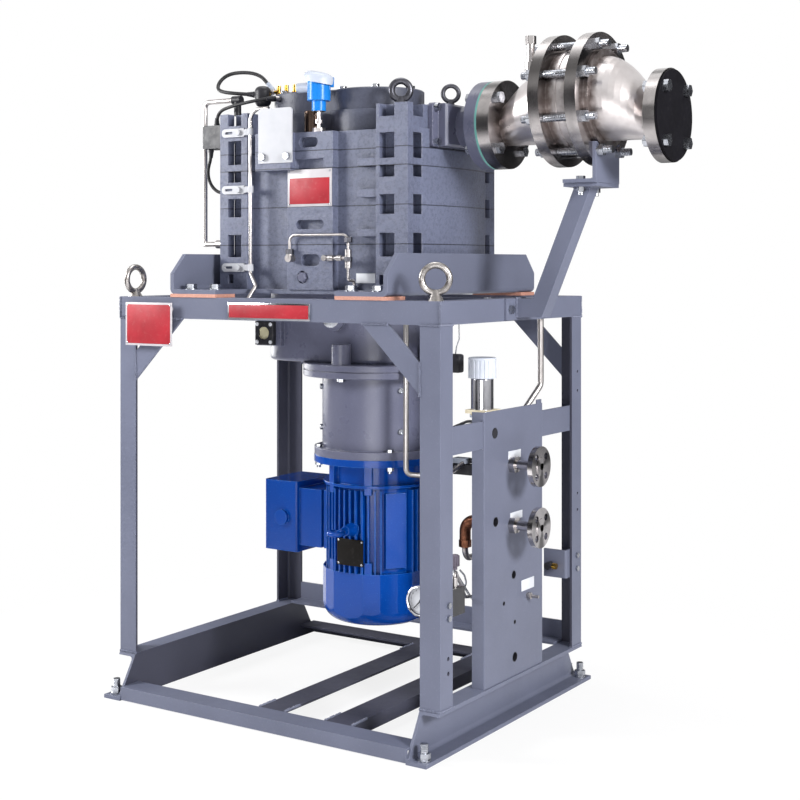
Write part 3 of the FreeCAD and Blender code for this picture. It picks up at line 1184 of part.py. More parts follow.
reg_plate = box(REG_X - 27, panel_in, REG_Y - 29, REG_Y + 29, PANEL_TOP - 6, PANEL_TOP + 2)
chrome = on_reg(PANEL_TOP, KNOB_Z, 25.0)
chrome = chrome.makeFillet(3.0, [e for e in chrome.Edges if e.BoundBox.ZMin > KNOB_Z - 0.1])
reg_body = fuse([on_reg(640, PANEL_TOP, 18.0), on_reg(693, PANEL_TOP - 1, 26.0), reg_plate, chrome,
                 on_reg(KNOB_Z - 1, KNOB_Z + 24, SPINDLE_R)])
export("regulator_body", reg_body)
knob = on_reg(KNOB_Z + KNOB_GAP, KNOB_TOP, KNOB_R)
knob = knob.makeFillet(3.0, [e for e in knob.Edges if e.BoundBox.ZMin > KNOB_TOP - 0.1])
flutes = []
for k in range(20):
    flute = cyl((KNOB_R + 1.0, 0, KNOB_Z), (0, 0, 1), 2.2, 40.0)
    flute.rotate(V(0, 0, 0), V(0, 0, 1), 18.0 * k)
    flute.translate(V(REG_X, REG_Y, 0))
    flutes.append(flute)
knob = cut(knob, flutes + [on_reg(KNOB_Z, KNOB_Z + 25, SPINDLE_R + SHAFT_FIT)])
export("regulator_knob", knob)

# Gauge on a manifold block that is bolted to the front post
GAUGE_BACK = GAUGE_Y + 28.0
DIAL_Y = GAUGE_Y + 6.0
PIN_R = 1.5


def y_disc(y0, y1, r, x=GAUGE_X, z=GAUGE_Z):
    return cyl((x, y0, z), (0, 1, 0), r, y1 - y0)


case = y_disc(GAUGE_Y, GAUGE_BACK, GAUGE_R)
case = case.makeFillet(2.0, [e for e in case.Edges if e.BoundBox.YMax < GAUGE_Y + 0.1])
case = case.cut(y_disc(GAUGE_Y - 1, DIAL_Y, GAUGE_R - 3.5))
manifold = fuse([box(350, panel_in, GAUGE_BACK + 5, GAUGE_BACK + 30, 285, 342),
                 box(414, panel_in, -HALF_D + 14, GAUGE_BACK + 30, 285, 342)])
block_holes = [cyl((410, -HALF_D + 32, z), (1, 0, 0), 4.2, 40.0) for z in BLOCK_HOLES]
gauge = fuse([case, y_disc(GAUGE_BACK - 1, GAUGE_BACK + 6, 9.0), cut(manifold, block_holes),
              y_disc(DIAL_Y - 4, DIAL_Y + 1, PIN_R)])
export("gauge_body", gauge)
needle = prism([(-1.6, 0, -8), (1.6, 0, -8), (0.5, 0, 24), (-0.5, 0, 24)], (0, 1.2, 0))
needle = fuse([needle, cyl((0, 0, 0), (0, 1, 0), 3.2, 1.2)])
needle = needle.cut(cyl((0, -1, 0), (0, 1, 0), PIN_R + SHAFT_FIT, 4))
needle.rotate(V(0, 0, 0), V(0, 1, 0), -135.0)
needle.translate(V(GAUGE_X, DIAL_Y - 2.5, GAUGE_Z))
export("gauge_needle", needle)

# Sensor on the head: stem, collar, round head, gland, and a hinged sloping cap
SENSOR_X = 30.0
SENSOR_Y = FRONT + 15.0
HEAD_Z = (1404.0, 1455.0)
LID_GAP = 0.3
LID_PIN_R = 2.0
LID_R = 35.0
SENSOR_R = 27.0
LID_AXIS = (SENSOR_Y + LID_R + 5.0, HEAD_Z[1] + 3.0)


def on_sensor(z0, z1, r):
    return cyl((SENSOR_X, SENSOR_Y, z0), (0, 0, 1), r, z1 - z0)


def lid_barrel(x0, x1, r):
    return cyl((x0, LID_AXIS[0], LID_AXIS[1]), (1, 0, 0), r, x1 - x0)


foot = hexagon((SENSOR_X, SENSOR_Y, BODY_TOP), (0, 0, 1), 27.0, 9.0)
ears = []
for x in (SENSOR_X - 12, SENSOR_X + 6):
    ears.append(lid_barrel(x, x + 6, 4.2))
    ears.append(box(x, x + 6, SENSOR_Y + SENSOR_R - 7, LID_AXIS[0] + 3, HEAD_Z[1] - 16, LID_AXIS[1] - 1.0))
head_barrel = on_sensor(HEAD_Z[0], HEAD_Z[1], SENSOR_R)
clear_rim = on_sensor(HEAD_Z[1], HEAD_Z[1] + 30, LID_R + 1)
GLAND_R = 11.5
GLAND_Z = HEAD_Z[1] - 18.0
sensor = fuse([foot, on_sensor(BODY_TOP, 1384, 4.5), on_sensor(1352, 1360, 9.0),
               on_sensor(1380, HEAD_Z[0] + 1, 16.5), head_barrel,
               cyl((SENSOR_X - SENSOR_R + 6, SENSOR_Y, GLAND_Z), (-1, 0, 0), GLAND_R, 38.0)]
              + [e.cut(clear_rim) for e in ears])
sensor = sensor.cut(cyl((SENSOR_X - SENSOR_R - 20, SENSOR_Y, GLAND_Z), (-1, 0, 0), GLAND_R - 5, 20.0))
sensor = sensor.cut(lid_barrel(SENSOR_X - 20, SENSOR_X + 20, LID_PIN_R + SHAFT_FIT))
export("sensor_body", sensor)
cap = on_sensor(HEAD_Z[1] + LID_GAP, HEAD_Z[1] + 50, LID_R)
LID_HIGH = 40.0
LID_LOW = 15.0
slope = prism([(SENSOR_X - LID_R, SENSOR_Y - LID_R - 5, HEAD_Z[1] + LID_HIGH),
               (SENSOR_X + LID_R, SENSOR_Y - LID_R - 5, HEAD_Z[1] + LID_LOW),
               (SENSOR_X + LID_R + 5, SENSOR_Y - LID_R - 5, HEAD_Z[1] + LID_LOW),
               (SENSOR_X + LID_R + 5, SENSOR_Y - LID_R - 5, HEAD_Z[1] + 60),
               (SENSOR_X - LID_R - 5, SENSOR_Y - LID_R - 5, HEAD_Z[1] + 60),
               (SENSOR_X - LID_R - 5, SENSOR_Y - LID_R - 5, HEAD_Z[1] + LID_HIGH)], (0, 2 * LID_R + 10, 0))
cap = cap.cut(slope)
cap = cap.makeFillet(5.0, [e for e in cap.Edges
                           if e.BoundBox.ZMin > HEAD_Z[1] + LID_LOW - 5 and e.Length > 100])
tongue = box(SENSOR_X - 5.7, SENSOR_X + 5.7, SENSOR_Y + 25, LID_AXIS[0], HEAD_Z[1] + LID_GAP,
             HEAD_Z[1] + LID_GAP + 6)
lid = fuse([cap, tongue, lid_barrel(SENSOR_X - 5.7, SENSOR_X + 5.7, 4.0).cut(head_barrel),
            lid_barrel(SENSOR_X - 12, SENSOR_X + 12, LID_PIN_R)])
export("sensor_lid", lid)


# Small tubes: straight runs joined by arcs that touch them
def tube_path(points, bends):
    pts = [V(*p) for p in points]
    edges = []
    start = pts[0]
    for k in range(1, len(pts) - 1):
        bend = bends[k - 1]
        before = (pts[k - 1] - pts[k]).normalize()
        after = (pts[k + 1] - pts[k]).normalize()
        half = before.getAngle(after) / 2
        room = bend / math.tan(half)
        middle = (before + after).normalize()
        centre = pts[k] + middle * (bend / math.sin(half))
        a = pts[k] + before * room
        b = pts[k] + after * room
        edges.append(Part.LineSegment(start, a).toShape())
        edges.append(Part.Arc(a, centre - middle * bend, b).toShape())
        start = b
    edges.append(Part.LineSegment(start, pts[-1]).toShape())
    return Part.Wire(edges)


def tube(points, r, bend, first_bend=None):
    bends = [bend] * (len(points) - 2)
    if first_bend:
        bends[0] = first_bend
    path = tube_path(points, bends)
    direction = V(*points[1]) - V(*points[0])
    profile = Part.Wire(Part.makeCircle(r, V(*points[0]), direction))
    return path.makePipeShell([profile], True, False)


def radial(radius, deg, z):
    a = math.radians(deg)
    return (DRIVE_X + radius * math.cos(a), SHAFT_Y + radius * math.sin(a), z)


def radial_nut(deg, z):
    a = math.radians(deg)
    return hexagon(radial(LINE_SEAT, deg, z), (math.cos(a), math.sin(a), 0), 22.0, 16.0)


LINE_R = 6.0
front_top = radial(191.0, LINE_DEGS[0], LINE_Z)
front_line = fuse([radial_nut(LINE_DEGS[0], LINE_Z),
                   tube([radial(LINE_SEAT + 10, LINE_DEGS[0], LINE_Z), front_top,
                         (front_top[0], front_top[1], 556), (304, -78, 545), (332, PORT_Y, PORT_Z[0]),
                         (364, PORT_Y, PORT_Z[0])], LINE_R, 16.0),
                   x_disc(360, PORT_BACK, 14.0, PORT_Z[0], PORT_Y),
                   x_disc(374, 388, 17.0, PORT_Z[0], PORT_Y)])
rear_line = fuse([radial_nut(LINE_DEGS[1], LINE_Z),
                  tube([radial(LINE_SEAT + 10, LINE_DEGS[1], LINE_Z), radial(170.0, LINE_DEGS[1], LINE_Z),
                        (425, 165, LINE_Z - 6), (425, 165, 742), (398, 108, 668), (326, 40, 352),
                        (326, PORT_Y, 352), (326, PORT_Y, 385)], LINE_R + 1, 22.0),
                  hexagon((326, PORT_Y, 380), (0, 0, 1), 26.0, 16.0),
                  tube([(326, PORT_Y, 392), (326, PORT_Y, PORT_Z[1]), (PORT_BACK, PORT_Y, PORT_Z[1])],
                       13.0, 26.0)])
gauge_line = fuse([cyl((430, GAUGE_BACK + 10, 342), (0, 0, 1), 7.0, 20.0),
                   tube([(430, GAUGE_BACK + 10, 352), (430, GAUGE_BACK + 10, 382), (404, -150, 300),
                         (404, LINE_OUT[0], 269),
                         (476, LINE_OUT[0], 269)], 3.5, 9.0),
                   hexagon((panel_out, LINE_OUT[0], LINE_OUT[1]), (1, 0, 0), 14.0, 10.0)])
BRIDGE_Y = FRONT - 11.0
BRIDGE_X = (-35.0, 131.0)
BRIDGE_Z = (1041.0, 1094.0)
bridge = fuse([tube([(BRIDGE_X[0], BRIDGE_Y, BRIDGE_Z[0]), (BRIDGE_X[0], BRIDGE_Y, BRIDGE_Z[1]),
                     (BRIDGE_X[1], BRIDGE_Y, BRIDGE_Z[1]), (BRIDGE_X[1], BRIDGE_Y, BRIDGE_Z[0])], 3.2, 16.0),
               cyl((BRIDGE_X[0], FRONT, BRIDGE_Z[0]), (0, -1, 0), 9.0, FRONT - BRIDGE_Y + 7),
               cyl((BRIDGE_X[0], BRIDGE_Y, BRIDGE_Z[0]), (0, 0, 1), 8.0, 19.0),
               cyl((BRIDGE_X[1], BRIDGE_Y, 1018), (0, 0, 1), 8.0, 42.0),
               cyl((66, BRIDGE_Y, BRIDGE_Z[0]), (1, 0, 0), 4.0, BRIDGE_X[1] - 66),
               cyl((76, BRIDGE_Y, BRIDGE_Z[0]), (1, 0, 0), 7.0, 14.0),
               cyl((100, BRIDGE_Y, BRIDGE_Z[0]), (1, 0, 0), 7.0, 14.0),
               cyl((66, FRONT, BRIDGE_Z[0]), (0, -1, 0), 7.0, FRONT - BRIDGE_Y + 6),
               tube([(BRIDGE_X[1], BRIDGE_Y, 1020), (BRIDGE_X[1], BRIDGE_Y, 990),
                     (BRIDGE_X[1], FRONT + 13, 990), (BRIDGE_X[1], FRONT + 13, SEAT_TOP)], 3.6, 8.0),
               cyl((BRIDGE_X[1], FRONT + 13, SEAT_TOP), (0, 0, 1), 7.0, 8.0)])
PIPE_X = -339.0
PIPE_TOP = 1425.0
ELBOW_X = -236.0
PIPE_Y = FRONT + 45.0
SEAT_Y = FRONT + 11.0
side_line = fuse([tube([(BODY_L, SEAT_Y, 1075), (-306, SEAT_Y, 1075), (PIPE_X, PIPE_Y, 1075),
                        (PIPE_X, PIPE_Y, PIPE_TOP), (ELBOW_X, PIPE_Y, PIPE_TOP),
                        (ELBOW_X, PIPE_Y, COLUMN_TOP)], 6.0, 14.0),
                  cyl((ELBOW_X - 14, PIPE_Y, PIPE_TOP), (1, 0, 0), 10.0, 26.0),
                  cyl((ELBOW_X, PIPE_Y, COLUMN_TOP), (0, 0, 1), 9.0, PIPE_TOP - COLUMN_TOP),
                  cyl((BODY_L, SEAT_Y, 1075), (-1, 0, 0), 10.0, 18.0)])
THIN_X = -151.0
THIN_Y = FRONT - 11.0
seat_dir = (math.cos(math.radians(THIN_SEAT_DEG)), math.sin(math.radians(THIN_SEAT_DEG)))


def off_driven(radius):
    return (DRIVEN_X + radius * seat_dir[0], SHAFT_Y + radius * seat_dir[1], LINE_Z)


thin_line = fuse([tube([(-96, THIN_Y, 1392), (THIN_X, THIN_Y, 1392), (THIN_X, THIN_Y, 1005),
                        (-128, THIN_Y - 8, 976), (-136, THIN_Y - 44, 930), off_driven(156.0),
                        off_driven(LINE_SEAT)], 4.5, 10.0, 27.0),
                  hexagon(off_driven(LINE_SEAT), (seat_dir[0], seat_dir[1], 0), 19.0, 14.0)])
valve = fuse([cyl((VALVE_X, 0, VALVE_SEAT), (0, 0, 1), 14.0, 18.0),
              cyl((VALVE_X, 0, VALVE_SEAT + 17), (0, 0, 1), 9.0, 42.0),
              hexagon((VALVE_X, 0, VALVE_SEAT + 58), (0, 0, 1), 22.0, 18.0)])
# Fittings on the cover, the round housing beside the sensor and the fitting on the rear angle
CAP_FITTINGS = ((-150.0, -98.0), (-125.0, -100.0), (-100.0, -100.0))
cover_fittings = []
for x, y in CAP_FITTINGS:
    cover_fittings.append(fuse([hexagon((x, y, COVER_TOP), (0, 0, 1), 13.0, 8.0),
                                cyl((x, y, COVER_TOP), (0, 0, 1), 5.0, 25.0)]))
LOOP_START = V(-172.0, -98.0, 1450.0)
LOOP_DIR = V(-18.0, -1.0, 26.0).normalize()
first = V(CAP_FITTINGS[0][0], CAP_FITTINGS[0][1], LOOP_START.z - 6)
cover_fittings[0] = fuse([cover_fittings[0],
                          cyl(tuple(LOOP_START - LOOP_DIR * 10), tuple(LOOP_DIR), 8.0, 9.7),
                          cyl(tuple(first), (-1, 0, 0), 5.0, 18.0)])
GLAND_DEG = -115.0
GLAND_OUT = COVER_TOP_R + 14.0
gland_a = math.radians(GLAND_DEG)
gland_dir = (math.cos(gland_a), math.sin(gland_a), 0)
side_gland = cyl((DRIVEN_X + COVER_TOP_R * gland_dir[0], SHAFT_Y + COVER_TOP_R * gland_dir[1], 1421),
                 gland_dir, 7.0, GLAND_OUT - COVER_TOP_R)
side_gland = side_gland.cut(twin(COVER_TOP_R, COVER_STEP, COVER_TOP))
round_housing = cyl((-2, SENSOR_Y + 18, BODY_TOP), (0, 0, 1), 19.0, 52.0)
round_housing = round_housing.makeFillet(3.0, [e for e in round_housing.Edges
                                               if e.BoundBox.ZMin > BODY_TOP + 50])
rear_fitting = fuse([cyl((403, BRACKET_Y, 299), (0, -1, 0), 9.0, 20.0),
                     hexagon((414, BRACKET_Y - 11, 299), (1, 0, 0), 14.0, 10.0),
                     cyl((403, BRACKET_Y - 11, 299), (1, 0, 0), 5.0, 12.0)])
export("pipework", [front_line, rear_line, gauge_line, bridge, side_line, thin_line, valve, side_gland,
                    round_housing, rear_fitting] + cover_fittings)

# Clamp plates that hold the thin tube against the front left column
CLAMP_X = (-244.0, -176.0)
CLAMP_H = 20.0
clamps = []
for z in (1340.0, 1204.0, 1019.0):
    r = CLAMP_H / 2
    y0 = FRONT - 5
    plate = fuse([box(CLAMP_X[0] + r, CLAMP_X[1], y0, FRONT, z - r, z + r),
                  cyl((CLAMP_X[0] + r, y0, z), (0, 1, 0), r, 5.0),
                  box(CLAMP_X[1], THIN_X - 6, y0, FRONT, z - 7, z + 7)])
    long_hole = fuse([box(CLAMP_X[0] + 12, CLAMP_X[0] + 30, y0 - 1, FRONT + 1, z - 3, z + 3)]
                     + [cyl((CLAMP_X[0] + q, y0 - 1, z), (0, 1, 0), 3.0, 7.0) for q in (12, 30)])
    screw = hexagon((CLAMP_X[1] - 16, y0, z), (0, -1, 0), 13.0, 6.0)
    claw = ring((THIN_X, THIN_Y, z - 8), (0, 0, 1), 7.0, 4.6, 16.0)
    tab = box(THIN_X - 14, THIN_X - 6, THIN_Y - 3, FRONT - 1, z - 7, z + 7)
    clamps.append(fuse([plate.cut(long_hole), screw, claw, tab]))
export("pipe_clamps", clamps)

# Bolts of the pump, the drive train, the arm and the manifold block
M12 = 12.0
all_bolts = list(screws)
all_bolts += [hex_screw((x, y, COVER_TOP), (0, 0, 1), M12, 60.0) for x, y in cover_bolts]
all_bolts += [hex_screw(on_drive(BOSS_PCR, d, BELL_BOTTOM), (0, 0, -1), M12, 55.0) for d in BOSS_DEGS]
for x, y, z in MOTOR_BOLTS:
    top = HOUSING_BOTTOM + HOUSING_FLANGE_T
    all_bolts.append(fuse([hex_screw((x, y, top), (0, 0, 1), 10.0, top - flange_z + 14),
                           hexagon((x, y, flange_z), (0, 0, -1), 16.0, 8.0)]))
for y in arm_bolt_y:
    all_bolts.append(fuse([hex_screw((HALF_W + ARM_PLATE_T, y, 926), (1, 0, 0), M12, 28.0),
                           hexagon((HALF_W - ANGLE_T, y, 926), (-1, 0, 0), 18.0, 10.0)]))
for x, y in shelf_bolts:
    all_bolts.append(fuse([hex_screw((x, y, SHELF_Z + LEG_T), (0, 0, 1), M12, 34.0),
                           hexagon((x, y, SHELF_Z - 8), (0, 0, -1), 18.0, 10.0)]))
for y, z in adapter_screws:
    all_bolts.append(fuse([cyl((PLATE_END, y, z), (1, 0, 0), 9.0, 11.0),
                           cyl((BODY_R + 0.3, y, z), (1, 0, 0), 6.0, PLATE_T + 1)]))
for z in BLOCK_HOLES:
    all_bolts.append(hex_screw((HALF_W, -HALF_D + 32, z), (1, 0, 0), 8.0, 34.0))
for z in BRACKET_BOLTS:
    all_bolts.append(fuse([hex_screw((HALF_W, BRACKET_BOLT_Y, z), (1, 0, 0), 8.0, 20.0),
                           hexagon((BAR_X, BRACKET_BOLT_Y, z), (-1, 0, 0), 13.0, 6.0)]))
all_bolts.append(hexagon((PLUG_HOLE_X, FRONT + PLUG_HOLE_DEEP, PLUG_HOLE_Z), (0, -1, 0), 19.0, 8.0))
all_bolts += [hexagon((x, FRONT - BLOCK_OUT - COVER_PLATE_T, COVER_PLATE_Z[0] + 15), (0, -1, 0), 16.0, 7.0)
              for x in (COVER_PLATE_X[0] + 14, COVER_PLATE_X[1] - 14)]
export("pump_bolts", all_bolts)

# Lifting eyes on the front right column, on the inlet block and on the motor
motor_eye = eye_bolt((0, 0, 0), 15.0, 6.0, 9.0, 20.0, 0.0, 0.0)
motor_eye.rotate(V(0, 0, 0), V(1, 0, 0), 90)
motor_eye.translate(V(EYE_X, boss_y - BOSS_H, EYE_Z))
export("lifting_eyes", [eye_bolt((236, -150, COLUMN_TOP), 21.0, 7.5, 14.0, 11.0, 33.0, 0.0),
                        eye_bolt((304, -45, 1391), 18.0, 5.0, 9.0, 7.0, 33.0, 0.0), motor_eye])

# Junction box on the left column, sensor cables as plain tubes
BOX_Y = FRONT + 25.0
junction = box(BODY_L - 60, BODY_L, BOX_Y - 23, BOX_Y + 23, 1306, 1362)
junction = junction.makeFillet(6.0, [e for e in junction.Edges if e.BoundBox.XMax < BODY_L - 59])
PLUG_X = -172.0
PLUG_Y = FRONT + 63.0
PLUG_R = 20.0
PLUG_Z = (1406.0, 1456.0)
ball = cyl((PLUG_X, PLUG_Y, PLUG_Z[0]), (0, 0, 1), PLUG_R, PLUG_Z[1] - PLUG_Z[0])
ball = ball.makeFillet(14.0, [e for e in ball.Edges if e.BoundBox.ZLength < 0.01])
plug = fuse([cyl((PLUG_X, PLUG_Y, COLUMN_TOP), (0, 0, 1), 11.0, PLUG_Z[0] - COLUMN_TOP + 20), ball])
export("junction_box", [junction, plug])


def cord(points, r):
    """Runs joined by arcs as large as the shorter run allows; the radii are printed."""
    pts = [V(*p) for p in points]
    edges = []
    start = pts[0]
    radii = []
    for k in range(1, len(pts) - 1):
        before = pts[k - 1] - pts[k]
        after = pts[k + 1] - pts[k]
        room = 0.45 * min(before.Length, after.Length)
        before = before.normalize()
        after = after.normalize()
        half = before.getAngle(after) / 2
        bend = room * math.tan(half)
        radii.append(round(bend, 1))
        middle = (before + after).normalize()
        centre = pts[k] + middle * (bend / math.sin(half))
        edges.append(Part.LineSegment(start, pts[k] + before * room).toShape())
        arc = Part.Arc(pts[k] + before * room, centre - middle * bend, pts[k] + after * room)
        edges.append(arc.toShape())
        start = pts[k] + after * room
    edges.append(Part.LineSegment(start, pts[-1]).toShape())
    path = Part.Wire(edges)
    profile = Part.Wire(Part.makeCircle(r, pts[0], pts[1] - pts[0]))
    solid = path.makePipeShell([profile], True, False)
    print("cord radii", radii, "length", round(path.Length), "volume ratio",
          round(solid.Volume / (path.Length * math.pi * r * r), 4))
    return solid


LOOP_ROUTE = (tuple(LOOP_START), (-190, -99, 1476), (-214, -102, 1492), (-250, -107, 1498.5),
              (-291.7, -112, 1497), (-309.6, -123.2, 1482.9), (-309.6, -138.9, 1463.1),
              (-291.7, -150, 1449), (-242, -149, 1441), (PLUG_X - PLUG_R - 0.8, PLUG_Y - 2, 1437))
TOP_ROUTE = ((DRIVEN_X + (GLAND_OUT + 0.4) * gland_dir[0], SHAFT_Y + (GLAND_OUT + 0.4) * gland_dir[1], 1421),
             (-132, -170, 1420), (-158, -180, 1416), (-200, -181, 1411), (-238, -177, 1406),
             (-269, -172, 1400), (-284, -170.5, 1384.5), (-284, BOX_Y, 1362.3))
DROP_ROUTE = ((-303, -170, 1306), (-303, -170, 1284), (-312.4, -170, 1261), (-312.4, -169, 1236),
              (-300.2, -167, 1213), (-278.2, -165, 1199), (BODY_L, -165, 1199))
export("cable_loop", [cord(LOOP_ROUTE, 4.5), cord(TOP_ROUTE, 4.0), cord(DROP_ROUTE, 4.0)])
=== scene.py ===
# %% [markdown]
# # Dressing a claw vacuum pump
# The frame that this script loads is the finished CAD model: every casting, tube and bolt is already
# in its place and of its real size. Blender adds what a CAD solid can't show: paint, metal, rubber,
# threads, weld beads, plates and cables. Nothing of the CAD model is moved. We work in the same
# coordinates, so a new piece goes exactly where the real one sits.

# %% Load the CAD frame
import bpy
import bmesh
import json
import math
from mathutils import Matrix, Vector


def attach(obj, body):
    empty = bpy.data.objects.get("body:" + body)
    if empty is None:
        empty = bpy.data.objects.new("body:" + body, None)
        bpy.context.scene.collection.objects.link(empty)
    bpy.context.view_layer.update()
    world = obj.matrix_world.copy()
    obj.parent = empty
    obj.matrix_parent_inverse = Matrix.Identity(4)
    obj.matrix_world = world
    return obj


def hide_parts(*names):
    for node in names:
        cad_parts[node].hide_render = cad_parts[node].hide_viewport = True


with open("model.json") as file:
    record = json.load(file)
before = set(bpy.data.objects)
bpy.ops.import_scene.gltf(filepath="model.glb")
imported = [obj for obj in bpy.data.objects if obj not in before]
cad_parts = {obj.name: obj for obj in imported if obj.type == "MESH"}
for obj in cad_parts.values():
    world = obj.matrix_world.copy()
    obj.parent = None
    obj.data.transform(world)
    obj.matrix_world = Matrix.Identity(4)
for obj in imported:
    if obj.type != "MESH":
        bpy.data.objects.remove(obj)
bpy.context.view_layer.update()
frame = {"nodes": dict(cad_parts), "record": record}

# %% [markdown]
# The CAD model was drawn in millimetres from the middle of the skid, and its origin was then put
# under the middle of the whole outline. One small function turns those drawing numbers into metres
# in the model's frame, so that every size below can be read like a workshop drawing. Two more put a
# new object into the scene and say what it belongs to.

# %% Drawing numbers to metres
SKID_MIDDLE = 195.5
PORT_MIDDLE_Y = -18.0


def at(x, y, z):
    """A point of the workshop drawing, in metres in the model's frame."""
    return Vector(((x - SKID_MIDDLE) / 1000, y / 1000, z / 1000))


def mm(length):
    """Millimetres of the drawing in metres."""
    return length / 1000


def placed(name, data):
    """A new object for a mesh, curve, lamp or camera, put into the scene."""
    piece = bpy.data.objects.new(name, data)
    bpy.context.scene.collection.objects.link(piece)
    return piece


def hand_over(piece, body="skid"):
    """Says which body a piece rides on."""
    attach(piece, body)
    return piece


print("skid middle lies at", at(0, 0, 0))

# %% [markdown]
# ## Camera
# The photograph is taken from the front right at a standing person's chest height, with the camera
# held level: all uprights stay upright. A level camera that frames a tall object needs a shifted lens,
# as an architect's camera has, because tilting it would make the posts lean together.

# %% Camera
camera_data = bpy.data.cameras.new("camera")
camera = placed("camera", camera_data)
camera.location = at(2008.66, -2880.96, 1026.52)
camera.rotation_euler = (math.radians(90), 0, math.radians(33.02))
camera_data.lens = 65.17
camera_data.shift_y = -0.1695
bpy.context.scene.camera = camera
print("camera is", round(camera.location.length, 2), "m from the origin")

# %% [markdown]
# ## Light and floor
# The studio is white all round, but a polished pipe in an all-white room looks like paper: metal is
# drawn by the dark things that it mirrors. So the room is white for the camera and for mirrors and dim
# as a light. A lamp on the right throws the flanges' shadows down over the panel, one close by on the
# left grazes the front, so that every pocket and grain casts a small shadow, and a low one in front
# reaches under the top rails. Lamps at the left and above keep the other sides from going black.

# %% World
world = bpy.data.worlds.new("studio")
bpy.context.scene.world = world
world.use_nodes = True
sky = world.node_tree
sky.nodes.clear()
rays = sky.nodes.new("ShaderNodeLightPath")
seen = rays.outputs["Is Camera Ray"]
for ray in ("Is Glossy Ray", "Is Transmission Ray"):
    either_ray = sky.nodes.new("ShaderNodeMath")
    either_ray.operation = "MAXIMUM"
    sky.links.new(seen, either_ray.inputs[0])
    sky.links.new(rays.outputs[ray], either_ray.inputs[1])
    seen = either_ray.outputs[0]
white_room = sky.nodes.new("ShaderNodeBackground")
white_room.inputs["Color"].default_value = (1, 1, 1, 1)
soft_room = sky.nodes.new("ShaderNodeBackground")
soft_room.inputs["Color"].default_value = (0.95, 0.94, 1.0, 1)
soft_room.inputs["Strength"].default_value = 0.19
either = sky.nodes.new("ShaderNodeMixShader")
sky.links.new(seen, either.inputs[0])
sky.links.new(soft_room.outputs[0], either.inputs[1])
sky.links.new(white_room.outputs[0], either.inputs[2])
sky.links.new(either.outputs[0], sky.nodes.new("ShaderNodeOutputWorld").inputs["Surface"])


def soft_lamp(name, place, aim, size, watts):
    """A square area lamp that looks at a point."""
    lamp = bpy.data.lights.new(name, "AREA")
    lamp.size = size
    lamp.energy = watts
    holder = placed(name, lamp)
    holder.location = place
    holder.rotation_euler = (Vector(aim) - Vector(place)).to_track_quat("-Z", "Y").to_euler()


soft_lamp("key_right", (3.9, -1.3, 2.15), (0.2, 0, 0.5), 1.0, 215)
soft_lamp("front_left", (-1.8, -1.35, 1.65), (-0.2, 0, 0.9), 0.7, 54)
soft_lamp("low_front", (1.0, -2.6, 0.4), (-0.1, -0.1, 0.75), 1.2, 24)
soft_lamp("side_left", (-3.3, 0.7, 1.2), (-0.2, 0, 0.7), 1.4, 60)
soft_lamp("top", (-0.2, 0.2, 3.6), (0, 0, 0.8), 1.6, 36)
bpy.context.scene.view_settings.view_transform = "Standard"

# %% [markdown]
# The floor is one large sheet. The dark cards stand round the machine and give the metals their dark
# bands. They can be seen only in reflections: no camera, shadow or diffuse ray meets them.

# %% Floor and reflection cards
# half the floor's width, and how far from the middle the cards stand, in metres
FLOOR_HALF, CARD_DISTANCE = 9, 5.0
floor_mesh = bpy.data.meshes.new("floor")
floor_corners = [(FLOOR_HALF * x, FLOOR_HALF * y, 0) for x, y in ((-1, -1), (1, -1), (1, 1), (-1, 1))]
floor_mesh.from_pydata(floor_corners, [], [(0, 1, 2, 3)])
floor = placed("floor", floor_mesh)

# a card's bearing round the machine in degrees, its width, and its lower and upper edge
card_places = {
    "card_front": (-120, 2.6, -0.4, 3.4),
    "card_camera": (-74, 1.0, -0.4, 3.0),
    "card_right": (60, 3.4, -0.4, 3.4),
    "card_behind": (120, 5.0, -0.4, 2.8),
    "card_left": (174, 2.2, -0.4, 3.0),
}
card_paint = bpy.data.materials.new("card_grey")
card_paint.use_nodes = True
card_shader = card_paint.node_tree.nodes["Principled BSDF"]
card_shader.inputs["Base Color"].default_value = (0.05, 0.05, 0.055, 1)
card_shader.inputs["Roughness"].default_value = 0.9
for name, (bearing, width, low, high) in card_places.items():
    card_mesh = bpy.data.meshes.new(name)
    corners = [(-width / 2, 0, low), (width / 2, 0, low), (width / 2, 0, high), (-width / 2, 0, high)]
    card_mesh.from_pydata(corners, [], [(0, 1, 2, 3)])
    card_mesh.materials.append(card_paint)
    card = placed(name, card_mesh)
    turn = Matrix.Rotation(math.radians(bearing + 90), 4, "Z")
    card_mesh.transform(turn @ Matrix.Translation((0, -CARD_DISTANCE, 0)))
    for ray in ("camera", "diffuse", "shadow", "transmission"):
        setattr(card, "visible_" + ray, False)
print("cards:", len(card_places))

# %% [markdown]
# ## A recipe book for finishes
# A finish is a small network of nodes. They all start from the same few steps: read where we are on
# the piece, make noise of a real size there, and use it to change colour, gloss and relief a little.
# The class below names those steps, so each finish reads like a recipe. Noise scales are per metre:
# a scale of 500 gives grains of about 2 mm. Every finish is kept in one book under its name.

# %% Recipe helper
def tone(code):
    """A colour as it is mixed on a screen, RRGGBB, turned into Blender's linear light values."""
    parts = [int(code[k:k + 2], 16) / 255 for k in (0, 2, 4)]
    return tuple(c / 12.92 if c < 0.04045 else ((c + 0.055) / 1.055) ** 2.4 for c in parts) + (1.0,)


def dimmed(colour, share):
    """The same colour with less light in it."""
    return tuple(c * share for c in colour[:3]) + (1.0,)


FINISH = {}


